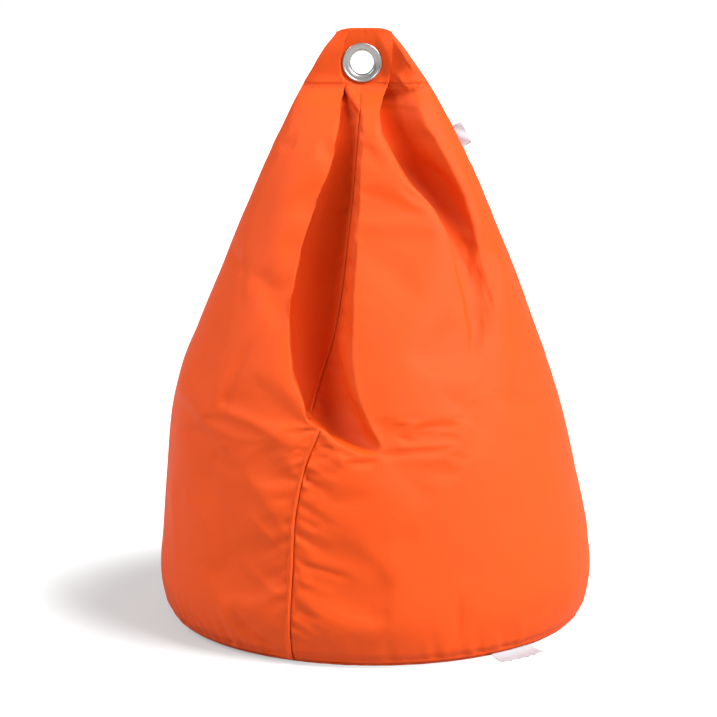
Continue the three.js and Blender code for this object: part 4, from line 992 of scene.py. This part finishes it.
# The cover's zip, low in the back seam: two woven tapes sewn behind the cloth, each with a coil of
# nylon wire along its inner edge, metal stops at both ends, and a slider with its pull. The slider's
# fin passes between the tapes and between the coils.
zip_axes = np.stack([zip_across, zip_up, zip_out])
tape_inner, tape_outer, tape_thickness, cord_place, cord_width = 0.00045, 0.0157, 0.0007, 0.0045, 0.0009
coil_end, coil_pitch, wire_radius = 0.14719, 0.00135, 0.00029
coil_middle, coil_swing, coil_rise = 0.00193, 0.00119, 0.0009
tape_cloth = cloth_material(
    "tape_cloth", (0.56, 0.05, 0.002), (0.6, 0.06, 0.003), 0.0009, 0.7, 0.05, crumple=0.0002
)


def nylon_material(name, dark, pale):
    """Drawn nylon: a faint change of colour, with a slight relief that follows it."""
    material, tree, shader = bare_material(name)
    tint = pattern(tree, "ShaderNodeTexNoise", Scale=400.0, Detail=3.0).outputs[0]
    link(tree, mixed(tree, tint, dark, pale), shader.inputs["Base Color"])
    link(tree, raised(tree, tint, 0.2, 0.00003).outputs[0], shader.inputs["Normal"])
    shader.inputs["Roughness"].default_value = 0.32
    return material


coil_nylon = nylon_material("coil_nylon", (0.5, 0.045, 0.003), (0.6, 0.06, 0.005))


def zip_tape(name, side, axes, middle, half, level, swell=0.00025):
    """A tape of a zip, given by half its length, with a raised cord beside its inner edge: a narrow
    bell, e^-(d/w)^2 of the distance d from the cord's middle."""
    across = np.linspace(tape_inner, tape_outer, 40)[:: int(side)]
    depth = swell * np.exp(-(((across - cord_place) / cord_width) ** 2))
    lengthwise = np.linspace(-half, half, 120)[:, None]
    local = np.stack(np.broadcast_arrays(side * across, lengthwise, level + depth), -1)
    tape = grid_object(name, middle + local @ axes, flat=local[..., :2])
    thickened(tape, tape_thickness)
    return tape


def zip_coil(name, side, axes, middle, end, level):
    """A zip's coil: a round wire along a flattened helix. Its way across is a cosine and its height a
    sine of the turn, and its place along grows by a pitch a turn. Its radius tapers out at both
    ends."""
    turns = 2 * end / coil_pitch
    angle = np.linspace(0, 2 * np.pi * turns, int(turns * 11))
    shift = 0.0 if side > 0 else np.pi
    line = np.stack([
        side * (coil_middle - coil_swing * np.cos(angle + shift)),
        -end + coil_pitch * angle / (2 * np.pi),
        level + coil_rise * np.sin(angle + shift),
    ], -1)
    ahead = np.gradient(line, axis=0)
    ahead /= np.linalg.norm(ahead, axis=1, keepdims=True)
    aside = np.cross(ahead, [0, 1.0, 0])
    aside /= np.linalg.norm(aside, axis=1, keepdims=True)
    above = np.cross(aside, ahead)
    ring = np.linspace(0, 2 * np.pi, 6)
    radius = wire_radius * np.ones(len(line))
    radius[[0, -1]] = 1e-6
    spin = np.cos(ring)[:, None] * aside[:, None] + np.sin(ring)[:, None] * above[:, None]
    points = middle + (line[:, None] + radius[:, None, None] * spin) @ axes
    flat = np.stack([ring * wire_radius + 0 * angle[:, None], angle[:, None] * 0.0005 + 0 * ring], -1)
    return grid_object(name, points, flat=flat)


for name, side in (("left", -1), ("right", 1)):
    tape = zip_tape("tape_" + name, side, zip_axes, zip_middle, half=0.16039, level=-0.0015)
    tape.data.materials.append(tape_cloth)
    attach(tape, "bag")
    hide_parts("zip_tape_" + name)
    coil = zip_coil("coil_" + name, side, zip_axes, zip_middle, coil_end, level=0.0)
    coil.data.materials.append(coil_nylon)
    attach(coil, "bag")
    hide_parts("zip_coil_" + name)

# The stops, sliders and pull stay as they are in the frame, with their edges rounded: cast zinc,
# nickel plated.
zip_steel = metal_material("zip_steel", (0.66, 0.65, 0.63), roughness=0.3, scratch=0.5)
metal_nodes = [
    "zip_top_stop_left", "zip_top_stop_right", "zip_bottom_stop", "zip_slider", "zip_pull",
    "liner_zip_top_stop_front", "liner_zip_top_stop_back", "liner_zip_bottom_stop", "liner_zip_slider",
]
for name in metal_nodes:
    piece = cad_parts[name]
    piece.data.materials.clear()
    piece.data.materials.append(zip_steel)
    rounding = piece.modifiers.new("rounding", "BEVEL")
    rounding.width, rounding.segments, rounding.limit_method = 0.00028, 3, "ANGLE"

# The inner bag, which holds the beads when the cover is off: thin white non-woven cloth, a front and
# a back panel closed by a flat hem with its own zip on top, and a round base.
liner_top, liner_foot, foot_rise, foot_radius = 0.7004, 0.0026, 0.042, 0.32195
liner_gap, hem_half, hem_drop, middle_gap = 0.0082, 0.0068, 0.0012, 0.00015
liner_sunk, liner_uneven = 0.0015, 0.0012
# Its sections: share of the height, shares of the cover's width and of its half depths in front and
# behind, and squareness.
liner_rows = [
    (0.27, 1, 1, 1, 2), (0.34, 1, 0.85, 1, 2), (0.4, 0.97, 0.6, 0.98, 2),
    (0.48, 0.93, 0.44, 0.92, 2.2), (0.58, 0.85, 0.34, 0.7, 2.6), (0.68, 0.62, 0.175, 0.157, 4),
]


def liner_point(turn, height, depth):
    """A point of the inner bag: the filled body's section drawn in by a gap, narrowed by the bag's own
    shares, and swelling out of the round base as a quarter ellipse."""
    share = height / bag_height
    left, right, front, back = (along(outline_rows, share, k) * body_radius for k in range(1, 5))
    width, fore, aft, square = (along(liner_rows, share, k) for k in range(1, 5))
    side, ahead = np.sin(np.radians(turn)), np.cos(np.radians(turn))
    swell = np.sqrt(1 - (1 - np.clip((height - liner_foot) / foot_rise, 0, 1)) ** 2)
    inset = liner_gap + depth

    def sized(size, narrow):
        """A half size, from the round base's at the foot to the inset and narrowed one above."""
        return foot_radius - depth + ((size - inset) * narrow - foot_radius + depth) * swell

    reach = np.maximum(0, 1 - np.abs(side) ** square) ** (1 / square)
    front, back = sized(np.hypot(front, tab_half), fore), sized(np.hypot(back, tab_half), aft)
    y = np.where(ahead > 0, -front, back) * reach
    x = (right - left) / 2 + sized((left + right) / 2, width) * side
    point = np.stack([x, y, np.broadcast_to(height, np.shape(x))], -1)
    away = np.abs(np.mod(turn, 360) - back_seam_turn)
    bulge = (point - zip_middle) @ zip_out + inset
    held = np.where(bulge > 0, 1 - smooth(away, zip_flat, zip_ease), 0)
    return point - (bulge * held)[..., None] * zip_out


liner_cloth = cloth_material(
    "liner_cloth", (0.72, 0.71, 0.68), (0.8, 0.79, 0.76), 0.0011, 0.85, 0.0, crumple=0.0008
)
liner_heights = liner_foot + (liner_top - liner_foot) * np.linspace(0, 1, 150) ** 1.1
for name, first_turn, sign, seed in (("front", -90, -1, 51), ("back", 90, 1, 53)):
    turns = np.linspace(first_turn, first_turn + 180, 120)
    grid = liner_point(*np.broadcast_arrays(turns, liner_heights[:, None]), 0.0)
    inward = -outward(grid)
    slack = smooth(liner_heights, 0.05, 0.3) * (1 - smooth(liner_heights, 0.6, 0.68))
    edge = smooth(paced(grid, 1), 0, 0.05) * smooth(paced(grid[:, ::-1], 1)[:, ::-1], 0, 0.05)
    sunk = (liner_sunk + liner_uneven * drift(grid, wave=0.12, seed=seed)) * edge * slack[:, None]
    grid = grid + inward * sunk[..., None]
    grid[..., 1] = sign * np.maximum(sign * grid[..., 1], middle_gap)
    hem = grid[-1].copy()
    hem[:, 1] = np.where(np.abs(hem[:, 1]) > hem_half, sign * hem_half, hem[:, 1])
    grid = np.concatenate([grid, hem[None], hem[None] - [0, 0, hem_drop]])
    panel = grid_object("liner_panel_" + name, grid)
    panel.data.materials.append(liner_cloth)
    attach(panel, "bag")
    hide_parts(f"liner_{name}_panel")

# The round base: from the middle out to its seam and back underneath, radius and height.
disc_profile = np.array([
    (0.001, 0.0023), (0.05, 0.0023), (0.1, 0.0023), (0.15, 0.0023), (0.2, 0.0023), (0.25, 0.0023),
    (0.29, 0.0023), (0.31, 0.0023), (0.32, 0.0023), (0.3235, 0.0023), (0.3249, 0.0021),
    (0.3249, 0.0017), (0.323, 0.0015), (0.3, 0.0015), (0.2, 0.0015), (0.1, 0.0015), (0.001, 0.0015),
])
disc_radius, disc_height = disc_profile[:, :1], disc_profile[:, 1:]
turn = np.linspace(0, 2 * np.pi, 181)
disc = np.stack(np.broadcast_arrays(
    disc_radius * np.sin(turn), -disc_radius * np.cos(turn), disc_height
), -1)
liner_disc = grid_object("liner_disc", disc[::-1], flat=disc[::-1, :, :2])
liner_disc.data.materials.append(liner_cloth)
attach(liner_disc, "bag")
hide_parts("liner_base")

# The inner bag's zip lies along its top, made like the cover's but in white.
liner_middle = np.array([-0.0134, 0, liner_top])
liner_axes = np.array([[0, 1.0, 0], [-1.0, 0, 0], [0, 0, 1.0]])
liner_tape_cloth = cloth_material(
    "liner_tape_cloth", (0.7, 0.69, 0.66), (0.78, 0.77, 0.74), 0.0009, 0.75, 0.0, crumple=0.0002
)
liner_nylon = nylon_material("liner_nylon", (0.66, 0.65, 0.62), (0.74, 0.73, 0.7))
for name, side in (("front", -1), ("back", 1)):
    tape = zip_tape(
        "liner_tape_" + name, side, liner_axes, liner_middle, half=0.123, level=-0.0011, swell=0.0001
    )
    tape.data.materials.append(liner_tape_cloth)
    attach(tape, "bag")
    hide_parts("liner_zip_tape_" + name)
    coil = zip_coil(
        "liner_coil_" + name, side, liner_axes, liner_middle, end=0.1098, level=0.0004
    )
    coil.data.materials.append(liner_nylon)
    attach(coil, "bag")
    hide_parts("liner_zip_coil_" + name)

# The filling: loose beads of expanded polystyrene, 3 to 5 mm across, shown as one mass whose surface
# is the beads' own pebbled relief, with painted shade in the gaps between the beads.
bead_paint, tree, shader = bare_material("bead_paint")
balls = pattern(tree, "ShaderNodeTexVoronoi", Scale=240.0, Randomness=0.8).outputs["Distance"]
bulge = raised(tree, balls, 1.0, 0.0018, invert=True)
link(tree, bulge.outputs[0], shader.inputs["Normal"])
# Each bead is painted darker from its middle out to its rim. This is painted shade in the gaps between
# the beads.
link(tree, mixed(tree, balls, (0.86, 0.86, 0.85), (0.6, 0.6, 0.59)), shader.inputs["Base Color"])
shader.inputs["Roughness"].default_value = 0.75
bead_top, bead_crown, bead_depth, bead_sunk, bead_uneven = 0.5604, 0.006, 0.0018, 0.004, 0.0012
bead_heights = liner_foot + (bead_top - bead_crown - liner_foot) * np.linspace(0, 1, 120) ** 1.15
turns = np.linspace(0, 360, 241)
body = liner_point(*np.broadcast_arrays(turns, bead_heights[:, None]), bead_depth)
slack = smooth(bead_heights, 0.05, 0.3)
sunk = (bead_sunk + bead_uneven * drift(body, wave=0.07, seed=61)) * slack[:, None]
body = body - outward(body) * sunk[..., None]
centre = np.array([-0.01, 0, 0])
shrink = np.linspace(1, 0.004, 24)[:, None, None]
crown = centre + (body[-1] - centre) * [1, 1, 0] * shrink
heaped = bead_uneven * drift(crown, wave=0.06, seed=63) * (1 - shrink[..., 0])
crown[..., 2] = bead_top - bead_crown * shrink[..., 0] ** 2 + heaped - bead_uneven
floor_ring = body[0] * [1, 1, 0] * np.linspace(0.004, 0.93, 8)[:, None, None] + [0, 0, liner_foot]
bead_points = np.concatenate([floor_ring, body, crown[1:]])
beads = grid_object("beads", bead_points)
beads.data.materials.append(bead_paint)
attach(beads, "bag")
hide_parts("bead_filling")

# Studio. A white floor that keeps a soft shadow near the bag, a large soft lamp high at the right
# with a weaker one at the left, and a room that is brighter overhead than at the sides.
floor_half = 30
floor_corners = [(x * floor_half, y * floor_half, 0) for x, y in ((-1, -1), (1, -1), (1, 1), (-1, 1))]
floor_mesh = bpy.data.meshes.new("floor")
floor_mesh.from_pydata(floor_corners, [], [(0, 1, 2, 3)])
floor = bpy.data.objects.new("floor", floor_mesh)
bpy.context.scene.collection.objects.link(floor)
floor_paint, tree, shader = bare_material("floor_paint")
shader.inputs["Roughness"].default_value = 0.95
shader.inputs["Specular IOR Level"].default_value = 0
# Seen from the camera the floor glows, fully from half a metre off and less near the bag, where the
# shadow shows. Its paper is darker to the camera than to the light that it throws back.
seen_directly = node(tree, "ShaderNodeLightPath").outputs["Is Camera Ray"]
paper = mixed(tree, seen_directly, (0.5, 0.5, 0.5), (0.27, 0.27, 0.27))
link(tree, paper, shader.inputs["Base Color"])
place = node(tree, "ShaderNodeTexCoord")
away = node(tree, "ShaderNodeVectorMath", operation="DISTANCE")
link(tree, place.outputs["Object"], away.inputs[0])
away.inputs[1].default_value = (-0.22, 0.04, 0)
fade = ranged(tree, away.outputs["Value"], (0.25, 0.545, 0.36, 1.0), "SMOOTHSTEP")
lift = node(tree, "ShaderNodeMath", operation="MULTIPLY")
link(tree, fade, lift.inputs[1])
link(tree, seen_directly, lift.inputs[0])
link(tree, lift.outputs[0], shader.inputs["Emission Strength"])
shader.inputs["Emission Color"].default_value = (1, 1, 1, 1)
floor.data.materials.append(floor_paint)

room = bpy.data.worlds.new("room")
room.use_nodes = True
tree = room.node_tree
way = node(tree, "ShaderNodeTexCoord")
parts = node(tree, "ShaderNodeSeparateXYZ")
link(tree, way.outputs["Generated"], parts.inputs[0])
overhead = ranged(tree, parts.outputs["Z"], (0.0, 1.0, 0.16, 0.52))
path = node(tree, "ShaderNodeLightPath")
seen = node(tree, "ShaderNodeMath", operation="MAXIMUM")
link(tree, path.outputs["Is Camera Ray"], seen.inputs[0])
link(tree, path.outputs["Is Transmission Ray"], seen.inputs[1])
# Glossy surfaces mirror a bright screen that stands high in front, at the right.
screen = node(tree, "ShaderNodeVectorMath", operation="DOT_PRODUCT")
link(tree, way.outputs["Generated"], screen.inputs[0])
screen.inputs[1].default_value = (0.6, -0.45, 0.66)
mirrored = ranged(tree, screen.outputs["Value"], (0.1, 0.9, 0.14, 0.8), "SMOOTHSTEP")
surround = node(tree, "ShaderNodeMix", data_type="FLOAT")
link(tree, path.outputs["Is Glossy Ray"], surround.inputs["Factor"])
link(tree, overhead, surround.inputs["A"])
link(tree, mirrored, surround.inputs["B"])
strength = node(tree, "ShaderNodeMath", operation="MAXIMUM")
link(tree, seen.outputs[0], strength.inputs[0])
link(tree, surround.outputs[0], strength.inputs[1])
link(tree, strength.outputs[0], tree.nodes["Background"].inputs["Strength"])
tree.nodes["Background"].inputs["Color"].default_value = (1, 1, 1, 1)
bpy.context.scene.world = room

# Each lamp: its name and strength, and in degrees its spread, its height, and its turn from the
# front to the right.
lamps = [("key", 7.0, 30, 42, 62), ("fill", 2.75, 30, 42, -82)]
for name, energy, spread, height, turn in lamps:
    lamp_data = bpy.data.lights.new(name, "SUN")
    lamp_data.energy = energy
    lamp_data.angle = np.radians(spread)
    lamp = bpy.data.objects.new(name, lamp_data)
    lamp.rotation_euler = (np.radians(90 - height), 0, np.radians(turn))
    bpy.context.scene.collection.objects.link(lamp)

bpy.context.scene.view_settings.view_transform = "Standard"
